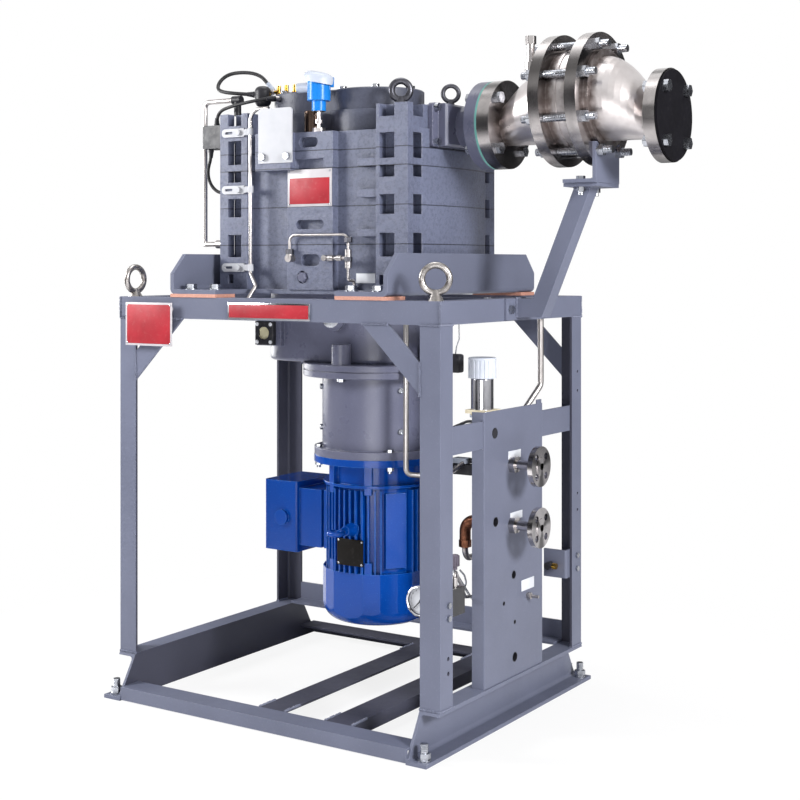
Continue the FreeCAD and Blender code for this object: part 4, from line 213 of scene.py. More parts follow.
class Recipe:
    """The node tree of one finish. Constants go straight onto the shader's sockets."""

    def __init__(self, name, **constants):
        self.mat = bpy.data.materials.new(name)
        self.mat.use_nodes = True
        self.tree = self.mat.node_tree
        self.shader = self.tree.nodes["Principled BSDF"]
        self.where = self.add("ShaderNodeTexCoord").outputs["Object"]
        for socket, value in constants.items():
            self.shader.inputs[socket.replace("_", " ")].default_value = value
        FINISH[name] = self.mat

    def add(self, kind, **settings):
        node = self.tree.nodes.new(kind)
        for key, value in settings.items():
            setattr(node, key, value)
        return node

    def put(self, value, socket):
        """Links an output to a socket, or writes a number or colour on it."""
        if isinstance(value, bpy.types.NodeSocket):
            self.tree.links.new(value, socket)
        else:
            socket.default_value = value

    def fed(self, kind, inputs, **settings):
        """A node whose inputs, told by name or by place, are linked or set."""
        node = self.add(kind, **settings)
        for socket, value in inputs.items():
            self.put(value, node.inputs[socket])
        return node

    def stretch(self, x, y, z):
        """The same place, with each direction scaled: a brushed or rolled surface."""
        return self.fed("ShaderNodeMapping", {"Vector": self.where, "Scale": (x, y, z)}).outputs[0]

    def noise(self, scale, detail=3.0, rough=0.55, where=None):
        inputs = {"Vector": where or self.where, "Scale": scale, "Detail": detail, "Roughness": rough}
        return self.fed("ShaderNodeTexNoise", inputs).outputs["Fac"]

    def span(self, value, low, high, to_low=0.0, to_high=1.0):
        """Stretches the part of a value between low and high over a new range."""
        inputs = dict(enumerate((value, low, high, to_low, to_high)))
        return self.fed("ShaderNodeMapRange", inputs).outputs[0]

    def math(self, kind, a, b=0.0):
        return self.fed("ShaderNodeMath", {0: a, 1: b}, operation=kind).outputs[0]

    def blend(self, amount, first, second):
        inputs = {"Factor": amount, "A": first, "B": second}
        return self.fed("ShaderNodeMix", inputs, data_type="RGBA").outputs["Result"]

    def axes(self, vector):
        """The x, y and z of a vector, told by their capital letters."""
        return self.fed("ShaderNodeSeparateXYZ", {0: vector}).outputs

    def seams(self, heights, half_width):
        """1 on thin level lines at the given heights of the drawing, as where two castings meet."""
        total = 0.0
        for height in heights:
            away = self.math("ABSOLUTE", self.math("SUBTRACT", self.axes(self.where)["Z"], mm(height)))
            total = self.math("MAXIMUM", total, self.span(away, mm(half_width), mm(half_width * 0.4)))
        return total

    def soft_edges(self, radius):
        """Normals that round every sharp edge, as paint, casting and filing do."""
        return self.fed("ShaderNodeBevel", {"Radius": mm(radius)}, samples=4).outputs[0]

    def edge_mask(self, rounded):
        """Near 1 on edges and 0 on open faces: how far the rounded normal leans away."""
        true = self.add("ShaderNodeNewGeometry").outputs["True Normal"]
        lean = self.fed("ShaderNodeVectorMath", {0: rounded, 1: true}, operation="DOT_PRODUCT")
        return self.span(lean.outputs["Value"], 0.995, 0.80)

    def relief(self, height, depth, under=None):
        """A bump whose full height is depth millimetres, on the normals under it."""
        node = self.fed("ShaderNodeBump", {"Height": height, "Distance": mm(depth), "Strength": 1.0})
        if under is not None:
            self.put(under, node.inputs["Normal"])
        return node.outputs[0]

    def finish(self, colour, roughness, normal=None):
        self.put(colour, self.shader.inputs["Base Color"])
        self.put(roughness, self.shader.inputs["Roughness"])
        if normal is not None:
            self.put(normal, self.shader.inputs["Normal"])


# %% [markdown]
# ### Paints
# The skid is sprayed with a blue-grey satin paint. Spray paint is never quite flat: it dries with an
# orange-peel skin of millimetre waves. Its edges are painted a shade lighter in patches, a painted
# highlight where light catches the rounded paint. The castings wear the same paint over raw iron, whose
# sand-mould grain shows through, so their recipe has coarse and fine grain together.

# %% Paint recipes
def sprayed(name, colour, edge, gloss, peel, grain, round_mm, shine=0.22, joints=()):
    """Paint over metal: peel is the orange-peel depth and grain the cast surface's depth, in mm."""
    colour, edge = tone(colour), tone(edge)
    r = Recipe(name, Specular_IOR_Level=shine)
    cloud = r.span(r.noise(5.0, 2.0), 0.3, 0.7)
    speck = r.span(r.noise(420.0, 2.0), 0.62, 0.75)
    rounded = r.soft_edges(round_mm)
    # painted highlight: the rounded edges are painted lighter in patches, where light catches them
    patchy = r.span(r.noise(38.0, 3.0), 0.25, 0.75, 0.25, 0.9)
    painted_edge_highlight = r.math("MULTIPLY", r.edge_mask(rounded), patchy)
    body = r.blend(cloud, dimmed(colour, 0.86), colour)
    body = r.blend(r.math("MULTIPLY", speck, 0.25), body, edge)
    body = r.blend(painted_edge_highlight, body, edge)
    normal = r.relief(r.noise(260.0, 1.5, 0.4), peel, rounded)
    if grain:
        sand = r.math("ADD", r.noise(95.0, 6.0, 0.75), r.noise(22.0, 2.0, 0.5))
        normal = r.relief(sand, grain, normal)
        pits = r.span(r.noise(130.0, 4.0, 0.7), 0.36, 0.52, 0.36 * grain, 0.0)
        body = r.blend(pits, body, dimmed(colour, 0.5))
    if joints:
        seam = r.seams(joints, SEAM_HALF_WIDTH)
        body = r.blend(r.math("MULTIPLY", seam, 0.85), body, tone("1E1F28"))
    rough = r.span(r.noise(24.0, 3.0), 0.3, 0.7, gloss - 0.05, gloss + 0.07)
    r.finish(body, rough, normal)


# the heights of the drawing at which the stack's castings meet
STAGE_JOINTS = (1072, 1160, 1248, 1289)
SEAM_HALF_WIDTH = 1.7
# name, colour, colour of the painted edge highlight, gloss, orange peel, grain, edge rounding, shine, joints
PAINTS = (
    ("frame_paint", "666A7C", "8C90A4", 0.36, 0.05, 0.0, 1.2),
    ("casting_paint", "62677C", "9093A8", 0.38, 0.10, 1.5, 1.8, 0.3, STAGE_JOINTS),
    ("housing_paint", "5C5E72", "8F91A4", 0.30, 0.06, 0.2, 1.8, 0.4),
    # painted shade: a darker copy of the frame paint, for inner and rear faces that lie in shade
    ("shaded_paint", "41424F", "606171", 0.40, 0.05, 0.0, 1.2),
    ("dark_casting_paint", "4C4F5E", "777A8B", 0.40, 0.10, 0.8, 1.8, 0.3),
    ("motor_paint", "003E94", "3E8AE0", 0.15, 0.06, 0.10, 2.0, 0.27),
    ("sensor_paint", "1878CC", "58A0E6", 0.24, 0.05, 0.0, 1.2),
)
for row in PAINTS:
    sprayed(*row)
print("paints:", len(PAINTS))

# %% [markdown]
# ### Metals
# Turned and rolled stainless steel carries fine lines along the tool's path, cast and welded shells
# are cloudy and matt, zinc plating is a shade blue with dull patches, and forged eyes are nearly black.
# One recipe makes them all: the differences are the colour, how cloudy it is, and the grain's direction.

# %% Metal recipes
def bare_metal(name, colour, shade, gloss, cloud, lines, line_depth, tints=()):
    """Bare metal: gloss is the mean roughness, and lines squeezes the grain into one direction.

    The tints are places along the pipe where a weld's heat has browned the steel."""
    r = Recipe(name, Metallic=1.0)
    patches = r.span(r.noise(cloud, 4.0, 0.6), 0.35, 0.68)
    fine = r.noise(240.0, 3.0, 0.6, r.stretch(*lines))
    body = r.blend(r.math("MULTIPLY", patches, 0.8), tone(colour), tone(shade))
    for x in tints:
        away = r.math("ABSOLUTE", r.math("SUBTRACT", r.axes(r.where)["X"], mm(x - SKID_MIDDLE)))
        ragged = r.math("ADD", away, r.span(r.noise(70.0, 3.0), 0.3, 0.7, -0.005, 0.005))
        body = r.blend(r.span(ragged, mm(22), mm(2), 0.0, 0.8), body, tone("4E3D36"))
    cloudy = r.span(patches, 0.0, 1.0, gloss - 0.05, gloss + 0.08)
    rough = r.math("ADD", cloudy, r.span(fine, 0.3, 0.7, -0.03, 0.03))
    r.finish(body, rough, r.relief(fine, line_depth))


REFLECTION_FANS = 3.0


def turned_metal(name, colour, gloss, centre):
    """Steel faced on a lathe: the tool's rings round an axis along x stretch every highlight outward.
    Bright and dark fans round the middle are painted into the colour as a painted reflection."""
    colour = tone(colour)
    r = Recipe(name, Metallic=1.0, Anisotropic=0.75)
    spoke = r.fed("ShaderNodeVectorMath", {0: r.where, 1: at(0, *centre)}, operation="SUBTRACT").outputs[0]
    ring = r.fed("ShaderNodeVectorMath", {0: (1, 0, 0), 1: spoke}, operation="CROSS_PRODUCT")
    r.put(ring.outputs[0], r.shader.inputs["Tangent"])
    smudge = r.span(r.noise(30.0, 4.0), 0.3, 0.7)
    across = r.axes(spoke)
    angle = r.math("ARCTAN2", across["Z"], across["Y"])
    # painted reflection: bright and dark fans round the axis are painted into the colour
    painted_reflection = r.math("SINE", r.math("MULTIPLY", angle, REFLECTION_FANS))
    body = r.blend(smudge, colour, dimmed(colour, 0.72))
    body = r.blend(r.span(painted_reflection, 0.2, 0.9), body, dimmed(colour, 0.22))
    r.finish(body, r.span(smudge, 0.0, 1.0, gloss - 0.04, gloss + 0.06))


# where the arrester's shells are welded, along the pipe, and the height of its axis
WELDS = (436, 549, 583, 636, 670, 793)
ARRESTER_Z = 1386
EVEN = (1, 1, 1)
# name, colour, shade, gloss, cloud scale, grain direction, grain depth, tints
METALS = (
    ("stainless", "D8D3D3", "ACA5A3", 0.35, 9.0, (0.15, 1, 1), 0.003, WELDS),
    ("tube_steel", "BAB6B5", "8E8987", 0.30, 8.0, (1, 1, 0.1), 0.0015),
    ("smoked_steel", "6E5B50", "2C2523", 0.22, 14.0, EVEN, 0.004),
    ("machined_steel", "BDBBBB", "8E8B8B", 0.24, 20.0, (1, 1, 0.1), 0.006),
    ("zinc_plate", "BABCC2", "80848C", 0.25, 60.0, EVEN, 0.006),
    ("cast_eye", "A9A5A3", "5F5955", 0.28, 70.0, EVEN, 0.15),
    ("chrome_plate", "D2D2D7", "A6A6AE", 0.16, 10.0, EVEN, 0.002),
    ("forged_dark", "5A5A60", "36363C", 0.36, 40.0, EVEN, 0.10),
    ("rotor_iron", "A8A6A4", "85827F", 0.42, 30.0, (1, 1, 0.2), 0.03),
    ("brass", "C79E48", "8A652A", 0.24, 30.0, EVEN, 0.01),
    ("bronze", "8A5B46", "4A2E24", 0.40, 60.0, EVEN, 0.10),
    ("copper_wire", "B5653A", "8A4526", 0.34, 80.0, (1, 1, 8), 0.10),
)
# name, colour, gloss, and the y and z of the axis that it was turned round
TURNED_METALS = (
    ("flange_steel", "B4AFAE", 0.19, (0, ARRESTER_Z)),
    ("port_steel_upper", "D6D2D2", 0.17, (PORT_MIDDLE_Y, 578)),
    ("port_steel_lower", "D6D2D2", 0.17, (PORT_MIDDLE_Y, 442)),
)
for row in METALS:
    bare_metal(*row)
for row in TURNED_METALS:
    turned_metal(*row)
print("metals:", len(METALS) + len(TURNED_METALS))

# %% [markdown]
# ### Plastics, rubber and laminate
# Moulded plastic has a fine spark-eroded grain and no metal shine. Rubber and cable sheath are duller
# and pick up dust. The pads under the pump are a pink woven laminate whose layers show on the edge.

# %% Plastic recipes
def moulded(name, colour, shade, gloss, grain_mm=0.04, scale=700.0, coat=0.0, shine=0.3):
    """Moulded plastic, rubber or printed film: a fine grain, soft edges and a little dust."""
    r = Recipe(name, Coat_Weight=coat, Specular_IOR_Level=shine)
    cloud = r.span(r.noise(16.0, 3.0), 0.3, 0.7)
    dust = r.span(r.noise(90.0, 5.0, 0.7), 0.55, 0.8)
    body = r.blend(cloud, tone(shade), tone(colour))
    body = r.blend(r.math("MULTIPLY", dust, 0.3 * shine), body, tone("B9B6B0"))
    rough = r.span(r.noise(60.0, 3.0), 0.3, 0.7, gloss - 0.04, gloss + 0.08)
    r.finish(body, rough, r.relief(r.noise(scale, 2.0, 0.6), grain_mm, r.soft_edges(0.8)))


def laminate(name):
    """Woven layers pressed together: bands through the thickness, and cloth fleck on the faces."""
    r = Recipe(name)
    waves = {"Vector": r.where, "Scale": 260.0, "Distortion": 1.2}
    bands = r.fed("ShaderNodeTexWave", waves, bands_direction="Z")
    fleck = r.span(r.noise(300.0, 4.0, 0.7), 0.35, 0.7)
    body = r.blend(bands.outputs["Fac"], tone("B07A68"), tone("C79684"))
    body = r.blend(r.math("MULTIPLY", fleck, 0.5), body, tone("8F5D50"))
    r.finish(body, r.span(fleck, 0.0, 1.0, 0.55, 0.7), r.relief(fleck, 0.2, r.soft_edges(0.6)))


# name, colour, shade, gloss, grain depth, grain scale, clear coat, shine
PLASTICS = (
    ("black_plastic", "26262C", "1A1A1F", 0.42),
    ("blank_black", "100F14", "0B0A0E", 0.75, 0.02, 700.0, 0.0, 0.08),
    ("gauge_black", "242428", "17171A", 0.30, 0.02, 500.0, 0.3),
    ("knob_white", "C9CDD6", "B0B6C2", 0.38, 0.02),
    ("cap_white", "BFC6D2", "A3ABBA", 0.34, 0.02),
    ("fan_plastic", "232326", "17171A", 0.5, 0.06),
    ("cable_sheath", "1C1C20", "121215", 0.46, 0.05, 900.0),
    ("gasket_teal", "6FA89E", "548C86", 0.6, 0.06, 400.0),
    ("elastomer", "C2461C", "9C3512", 0.45, 0.04),
    ("sight_glass", "C6C0A2", "A49F84", 0.10, 0.01, 300.0, 0.6),
    ("needle_black", "17171A", "0E0E10", 0.5, 0.02),
    ("cream_collar", "E3D9BF", "CDC2A6", 0.42, 0.03),
    ("plate_white", "B4B5BA", "A8AAB0", 0.45, 0.02),
    ("block_grey", "766F7C", "615B67", 0.42, 0.02, 700.0, 0.0, 0.15),
    ("plate_red", "A3222E", "8A1823", 0.48, 0.01, 300.0),
    ("plate_pale", "BDB9BC", "A9A5AA", 0.34, 0.01, 300.0),
    ("plate_black", "14110F", "0C0A09", 0.45, 0.02, 300.0, 0.0, 0.12),
    ("label_white", "D3D5DA", "C4C7CE", 0.40, 0.01, 300.0),
)
for row in PLASTICS:
    moulded(*row)
laminate("pad_laminate")
print("moulded finishes:", len(PLASTICS) + 1)

# %% [markdown]
# ### Floor paper
# The floor is plain pale studio paper, so bright that only a breath of the skid's shadow is left on it.
# It fades into the white room further out, where no edge may show.

# %% Floor material
paper = Recipe("studio_paper", Specular_IOR_Level=0.1)
far = paper.fed("ShaderNodeVectorMath", {0: paper.where}, operation="LENGTH")
fade = paper.span(far.outputs["Value"], 0.2, 1.5, 0.84, 1.0)
paper.finish(paper.blend(paper.noise(30.0, 2.0), tone("F6F6F7"), tone("FCFCFC")), 0.8)
glow = paper.fed("ShaderNodeEmission", {"Color": (1, 1, 1, 1)}).outputs[0]
lit = paper.math("MULTIPLY", fade, paper.add("ShaderNodeLightPath").outputs["Is Camera Ray"])
merge = paper.fed("ShaderNodeMixShader", {0: lit, 1: paper.shader.outputs[0], 2: glow})
paper.put(merge.outputs[0], paper.tree.nodes["Material Output"].inputs["Surface"])
floor_mesh.materials.append(paper.mat)

# %% [markdown]
# ## Painting the CAD nodes
# The record that came with the CAD model says which material slot each node has. Most slots have a
# finish of their own name, and a short list gives the others theirs. Three smooth housings get a paint
# without the stack's joints.

# %% Finish for each slot
FINISH_OF_SLOT = {
    "dark_casting": "dark_casting_paint", "shaft_steel": "machined_steel", "zinc_steel": "zinc_plate",
    "chrome": "chrome_plate", "dark_steel": "forged_dark", "pad_orange": "pad_laminate",
    "winding": "copper_wire", "spider_orange": "elastomer", "sensor_blue": "sensor_paint",
    "sensor_white": "cap_white", "cable_black": "cable_sheath", "glass_bezel": "sight_glass",
}
SMOOTH_HOUSINGS = ("inlet_adapter", "coupling_housing", "gearbox_housing")
for row in frame["record"]["subparts"]:
    finish = FINISH_OF_SLOT.get(row["material_slot"], row["material_slot"])
    if row["node"] in SMOOTH_HOUSINGS:
        finish = "housing_paint"
    mesh = frame["nodes"][row["node"]].data
    mesh.materials.clear()
    mesh.materials.append(FINISH[finish])

# %% [markdown]
# ## Several finishes on one node
# Some CAD nodes hold pieces that are painted apart: the pipework has brass and bronze fittings, the
# motor's lifting eye wears the motor's blue, and the sensor is blue above a bare steel stem. A second
# finish is put on the faces whose middle lies in a given box of the drawing. A later line may paint
# over an earlier one.

# %% Second finishes
def repaint(node, finish, low, high):
    """Gives the faces inside a box of the drawing another finish and says how many they are."""
    piece = frame["nodes"][node]
    mesh = piece.data
    mesh.materials.append(FINISH[finish])
    low, high = at(*low), at(*high)
    count = 0
    for face in mesh.polygons:
        middle = piece.matrix_world @ face.center
        if all(low[k] <= middle[k] <= high[k] for k in range(3)):
            face.material_index = len(mesh.materials) - 1
            count += 1
    print(node, "->", finish, count, "faces")


WHOLE = ((-900, -900, 0), (900, 900, 1600))
# node, finish, lower corner, upper corner
SECOND_FINISHES = (
    ("pipework", "tube_steel", *WHOLE),
    ("pipework", "brass", (-160, -110, 1434.5), (-90, -86, 1470)),
    ("pipework", "black_plastic", (-251, -162, 1387), (-223, -138, 1437)),
    ("pipework", "bronze", (300, -40, 378), (352, 6, 460)),
    ("pipework", "black_plastic", (352, -40, 425), (424.5, 6, 460)),
    ("pipework", "black_plastic", (345, -40, 558), (424.5, 6, 598)),
    ("pipework", "black_plastic", (390, 238, 285), (412.5, 261, 312)),
    ("pipework", "brass", (412.5, 238, 285), (430, 256, 312)),
    ("lifting_eyes", "motor_paint", (70, -260, 400), (150, -180, 450)),
    ("top_cover", "casting_paint", (-135, -215, 1240), (-10, -173, 1395)),
    ("pipe_clamps", "plate_white", *WHOLE),
    ("top_cover", "plate_white", (-125, -219, 1260), (-15, -214.4, 1392)),
    ("gauge_body", "block_grey", (349, -250, 284), (425, -200, 343)),
    ("pipework", "smoked_steel", (-23, -184, 1330), (18, -140, 1386)),
    ("frame_eyebolts", "cast_eye", *WHOLE),
    ("arrester_inlet", "flange_steel", (401, -200, 1200), (433, 200, 1600)),
    ("arrester_inlet", "flange_steel", (552.5, -200, 1200), (580, 200, 1600)),
    ("arrester_outlet", "flange_steel", (639.5, -200, 1200), (667, 200, 1600)),
    ("arrester_outlet", "flange_steel", (797, -200, 1200), (826, 200, 1600)),
    ("service_ports", "port_steel_upper", (430, -100, 520), (600, 150, 640)),
    ("service_ports", "port_steel_lower", (430, -100, 380), (600, 150, 505)),
    ("pump_bolts", "casting_paint", (-20, -260, 983), (10, -150, 1011)),
    ("pipework", "black_plastic", (286, -40, 536), (345, 6, 606)),
    # painted shade: the frame's inner and rear faces, where shade falls, get the darker copy of its paint
    ("channel_left", "shaded_paint", (-449.5, -326, 6), (-380, 400, 98.5)),
    ("frame_flats", "shaded_paint", (-440, 280, 0), (440, 400, 300)),
    ("base_members", "shaded_paint", (-440, -268, 0), (440, 400, 90)),
    ("corner_posts", "shaded_paint", (-449.5, 270, 90), (449.5, 329.5, 960)),
    ("corner_posts", "shaded_paint", (-449.5, -329.5, 90), (449.5, -270, 960)),
    ("sight_glass", "black_plastic", (-160, -185, 830), (-100, -160, 900)),
    ("sight_glass", "sight_glass", (-144, -179, 850), (-116, -176, 878)),
    ("sensor_body", "stainless", (0, -215, 1331), (60, -145, 1380)),
    ("sensor_body", "cap_white", (-40, -193, 1423), (2.5, -167, 1449)),
    ("regulator_body", "cream_collar", (386, -123, 692), (448, -63, 707)),
)
for row in SECOND_FINISHES:
    repaint(*row)

# %% [markdown]
# ## A bench for small closed shapes
# Plates, turned fittings and bent small tubes are all drawn with three tools: a block with broken
# edges, a turned shape, whose half outline runs once round an axis, and a tube along a bent line. A
# bench collects the shapes of one finish, so that they become one piece. Every shape is closed.

# %% Bench
BEND_STEPS = 6


class Bench:
    def __init__(self, name, finish, slot_name):
        self.name = name
        self.finish = finish
        self.slot_name = slot_name
        self.metal = bmesh.new()

    def ring(self, middle, side, across, radius, sides):
        """Points on a circle in the plane of two directions."""
        turns = [2 * math.pi * k / sides for k in range(sides)]
        return [self.metal.verts.new(middle + mm(radius) * (side * math.cos(t) + across * math.sin(t)))
                for t in turns]

    def skin(self, low, high):
        """Faces between two rings; a ring of a single point is a tip."""
        sides = max(len(low), len(high))
        for k in range(sides):
            n = (k + 1) % sides
            if len(low) == 1:
                self.metal.faces.new((low[0], high[n], high[k]))
            elif len(high) == 1:
                self.metal.faces.new((low[k], low[n], high[0]))
            else:
                self.metal.faces.new((low[k], low[n], high[n], high[k]))

    def block(self, low, high, edge=0.0):
        """A box between two corners of the drawing; edge breaks its corners."""
        low, high = at(*low), at(*high)
        made = bmesh.ops.create_cube(self.metal, size=1.0)["verts"]
        size = high - low
        for v in made:
            v.co = Vector((v.co[k] * size[k] + (low[k] + high[k]) / 2 for k in range(3)))
        if edge:
            edges = list({e for v in made for e in v.link_edges})
            bmesh.ops.bevel(self.metal, geom=edges, offset=mm(edge), segments=2, profile=0.5,
                            affect="EDGES")

    def turned(self, foot, axis, outline, sides=28):
        """The outline is (radius, height) pairs; its first and last radius are 0, or it closes a ring."""
        axis = Vector(axis).normalized()
        side = axis.orthogonal().normalized()
        across = axis.cross(side)
        foot = at(*foot)
        rings = []
        for radius, height in outline:
            middle = foot + axis * mm(height)
            if radius:
                rings.append(self.ring(middle, side, across, radius, sides))
            else:
                rings.append([self.metal.verts.new(middle)])
        if outline[0][0] > 0:
            rings.append(rings[0])
        for low, high in zip(rings, rings[1:]):
            self.skin(low, high)

    def tube(self, route, radius, bend, sides=12):
        """A small tube whose corners are bent over a roller of the given radius."""
        points = [at(*p) for p in route]
        line = [points[0]]
        for a, b, c in zip(points, points[1:], points[2:]):
            back, on = (a - b).normalized(), (c - b).normalized()
            half = back.angle(on) / 2
            room = min(mm(bend) / math.tan(half), 0.48 * (a - b).length, 0.48 * (c - b).length)
            for k in range(BEND_STEPS + 1):
                t = k / BEND_STEPS
                off = 1 - t
                line.append((b + back * room) * off ** 2 + b * 2 * t * off + (b + on * room) * t ** 2)
        line.append(points[-1])
        side = (line[1] - line[0]).orthogonal().normalized()
        rings = []
        for k, place in enumerate(line):
            ahead = (line[min(k + 1, len(line) - 1)] - line[max(k - 1, 0)]).normalized()
            side = (side - ahead * side.dot(ahead)).normalized()
            rings.append(self.ring(place, side, ahead.cross(side), radius, sides))
        for low, high in zip(rings, rings[1:]):
            self.skin(low, high)
        self.metal.faces.new(rings[0])
        self.metal.faces.new(rings[-1])

    def as_mesh(self):
        """Clears the bench: its shapes as one mesh whose faces all look outward."""
        bmesh.ops.recalc_face_normals(self.metal, faces=self.metal.faces)
        mesh = bpy.data.meshes.new(self.name)
        self.metal.to_mesh(mesh)
        self.metal.free()
        return mesh

    def done(self, smooth_deg=35, body="skid"):
        """Hands the shapes over as one named piece that rides on a body."""
        mesh = self.as_mesh()
        mesh.materials.append(FINISH[self.finish])
        mesh.shade_smooth()
        mesh.set_sharp_from_angle(angle=math.radians(smooth_deg))
        print(self.name, len(mesh.polygons), "faces")
        return hand_over(placed(self.name, mesh), body)


def rod(radius, low, high):
    """The outline of a plain round bar between two heights on its axis."""
    return [(0, low), (radius, low), (radius, high), (0, high)]


# the directions that turned shapes look in: out of the front, to the right, and up
FRONT, RIGHT, UP = (0, -1, 0), (1, 0, 0), (0, 0, 1)

# %% [markdown]
# ## Plates
# A name plate is thin sheet with a printed field. On this pump the fields are a deep red with a pale
# rim, the motor's plate is black, and small white labels mark the ports. The plates stay bare: no
# names and no numbers. The printed field is a second thin sheet, a hair proud of the first, because a
# flat colour edge then stays crisp from close by.

# %% Plates
# name, lower corner, upper corner, rim, room above the field, finish and slot of the backing
PLATES = (
    ("pump_plate", (-48, -196.6, 1160), (78, -195.0, 1246), 6.0, 14, "plate_pale", "sensor_white"),
    ("rail_badge", (-115, -333.0, 902), (117, -330.0, 940), 4.0, 0, "chrome_plate", "chrome"),
    ("guard_plate", (-418, -346.0, 835), (-272, -344.0, 937), 5.0, 0, "plate_pale", "sensor_white"),
)
for name, low, high, rim, header, finish, slot_name in PLATES:
    backing = Bench(name + "_backing", finish, slot_name)
    backing.block(low, high, 0.6)
    if name == "guard_plate":
        for x in (-402, -288):
            backing.turned((x, -329.9, 922), FRONT, rod(6, 0, 14.2), 16)
    backing.done()
    field = Bench(name + "_field", "plate_red", "sensor_white")
    field.block((low[0] + rim, low[1] - 0.5, low[2] + rim),
                (high[0] - rim, low[1] + 0.3, high[2] - rim - header), 0.2)
    field.done()
labels = Bench("port_labels", "label_white", "sensor_white")
for y0, y1, z0, z1 in ((-34, 25, 590, 608), (-25, 32, 452, 469), (28, 89, 283, 308)):
    labels.block((447.0, y0, z0), (447.5, y1, z1), 0.2)
labels.block((131, -174.6, 984), (183, -174.0, 1006), 0.2)
labels.done()
motor_plate = Bench("motor_plate", "plate_black", "black_plastic")
motor_plate.block((74, -170.0, 338), (147, -168.2, 399), 0.5)
motor_plate.done()

# %% [markdown]
# ## Growing repeated pieces
# Screws, thread turns, weld ripples and scale marks are the same small shape many times over. Each is
# made once and then copied by a small tree of Geometry Nodes, which puts a copy on every point of a
# mesh and turns it along the direction that the point carries. The tree ends by turning the copies
# into real faces and giving them their finish. The seed is fixed, so the ripples stay where they are.

# %% Copy tree
def new_tree(name, inputs):
    """An empty tree with named inputs of given kinds; what it hands out is called Copies."""
    tree = bpy.data.node_groups.new(name, "GeometryNodeTree")
    for label, kind in inputs:
        tree.interface.new_socket(label, in_out="INPUT", socket_type="NodeSocket" + kind)
    tree.interface.new_socket("Copies", in_out="OUTPUT", socket_type="NodeSocketGeometry")
    return tree


def wire_up(tree, gate, copies, wires):
    """Joins the sockets of each pair, makes the copies real and gives them their finish."""
    real = tree.nodes.new("GeometryNodeRealizeInstances")
    dress = tree.nodes.new("GeometryNodeSetMaterial")
    out = tree.nodes.new("NodeGroupOutput")
    wires += [(copies.outputs["Instances"], real.inputs["Geometry"]),
              (real.outputs["Geometry"], dress.inputs["Geometry"]),
              (gate.outputs["Finish"], dress.inputs["Material"]),
              (dress.outputs["Geometry"], out.inputs["Copies"])]
    for source, target in wires:
        tree.links.new(source, target)
    return tree


def run_tree(tree, points, values):
    """Runs a tree on a mesh of points and returns the plain mesh that comes out."""
    holder = placed(points.name, points)
    change = holder.modifiers.new("copies", "NODES")
    change.node_group = tree
    for socket in tree.interface.items_tree:
        if socket.in_out == "INPUT" and socket.name in values:
            change[socket.identifier] = values[socket.name]
    made = bpy.data.meshes.new_from_object(holder.evaluated_get(bpy.context.evaluated_depsgraph_get()))
    bpy.data.objects.remove(holder)
    return made


def copy_tree():
    """A shape on every point, leaning as the point says, between 1 - spread and 1 + spread in size."""
    tree = new_tree("copies_on_points", (("Points", "Geometry"), ("Shape", "Object"), ("Spread", "Float"),
                                         ("Seed", "Int"), ("Finish", "Material")))
    add = tree.nodes.new
    gate = add("NodeGroupInput")
    shape = add("GeometryNodeObjectInfo")
    lean = add("GeometryNodeInputNamedAttribute")
    lean.data_type = "FLOAT_VECTOR"
    lean.inputs["Name"].default_value = "lean"
    turn = add("FunctionNodeAlignRotationToVector")
    turn.axis = "Z"
    smallest = add("ShaderNodeMath")
    smallest.operation = "SUBTRACT"
    smallest.inputs[0].default_value = 1.0
    largest = add("ShaderNodeMath")
    largest.inputs[0].default_value = 1.0
    size = add("FunctionNodeRandomValue")
    size.data_type = "FLOAT"
    copies = add("GeometryNodeInstanceOnPoints")
    least, most = [socket for socket in size.inputs if socket.type == "VALUE"][:2]
    drawn = [socket for socket in size.outputs if socket.type == "VALUE"][0]
    return wire_up(tree, gate, copies, [
        (gate.outputs["Points"], copies.inputs["Points"]),
        (gate.outputs["Shape"], shape.inputs["Object"]),
        (shape.outputs["Geometry"], copies.inputs["Instance"]),
        (lean.outputs["Attribute"], turn.inputs["Vector"]),
        (turn.outputs["Rotation"], copies.inputs["Rotation"]),
        (gate.outputs["Spread"], smallest.inputs[1]),
        (gate.outputs["Spread"], largest.inputs[1]),
        (smallest.outputs[0], least),
        (largest.outputs[0], most),
        (gate.outputs["Seed"], size.inputs["Seed"]),
        (drawn, copies.inputs["Scale"])])


COPIES = copy_tree()


def grow(name, points, outline, sides, finish, slot_name, spread=0.0, seed=1):
    """Copies a turned shape on (point, direction) pairs of the drawing, as one piece."""
    mesh = bpy.data.meshes.new(name + "_points")
    mesh.from_pydata([at(*p) for p, _ in points], [], [])
    lean = mesh.attributes.new("lean", "FLOAT_VECTOR", "POINT")
    for entry, (_, direction) in zip(lean.data, points):
        entry.vector = Vector(direction).normalized()
    bench = Bench("pattern", finish, slot_name)
    bench.turned((SKID_MIDDLE, 0, 0), UP, outline, sides)
    pattern = placed("pattern", bench.as_mesh())
    grown = run_tree(COPIES, mesh, {
        "Shape": pattern, "Spread": spread, "Seed": seed, "Finish": FINISH[finish]})
    bpy.data.objects.remove(pattern)
    grown.name = name
    grown.shade_smooth()
    grown.set_sharp_from_angle(angle=math.radians(40))
    print(name, len(points), "copies,", len(grown.polygons), "faces")
    return hand_over(placed(name, grown))


# %% [markdown]
# ### Rivets and small screws
# The plates are held by drive rivets with low round heads; five screws close the coupling housing.

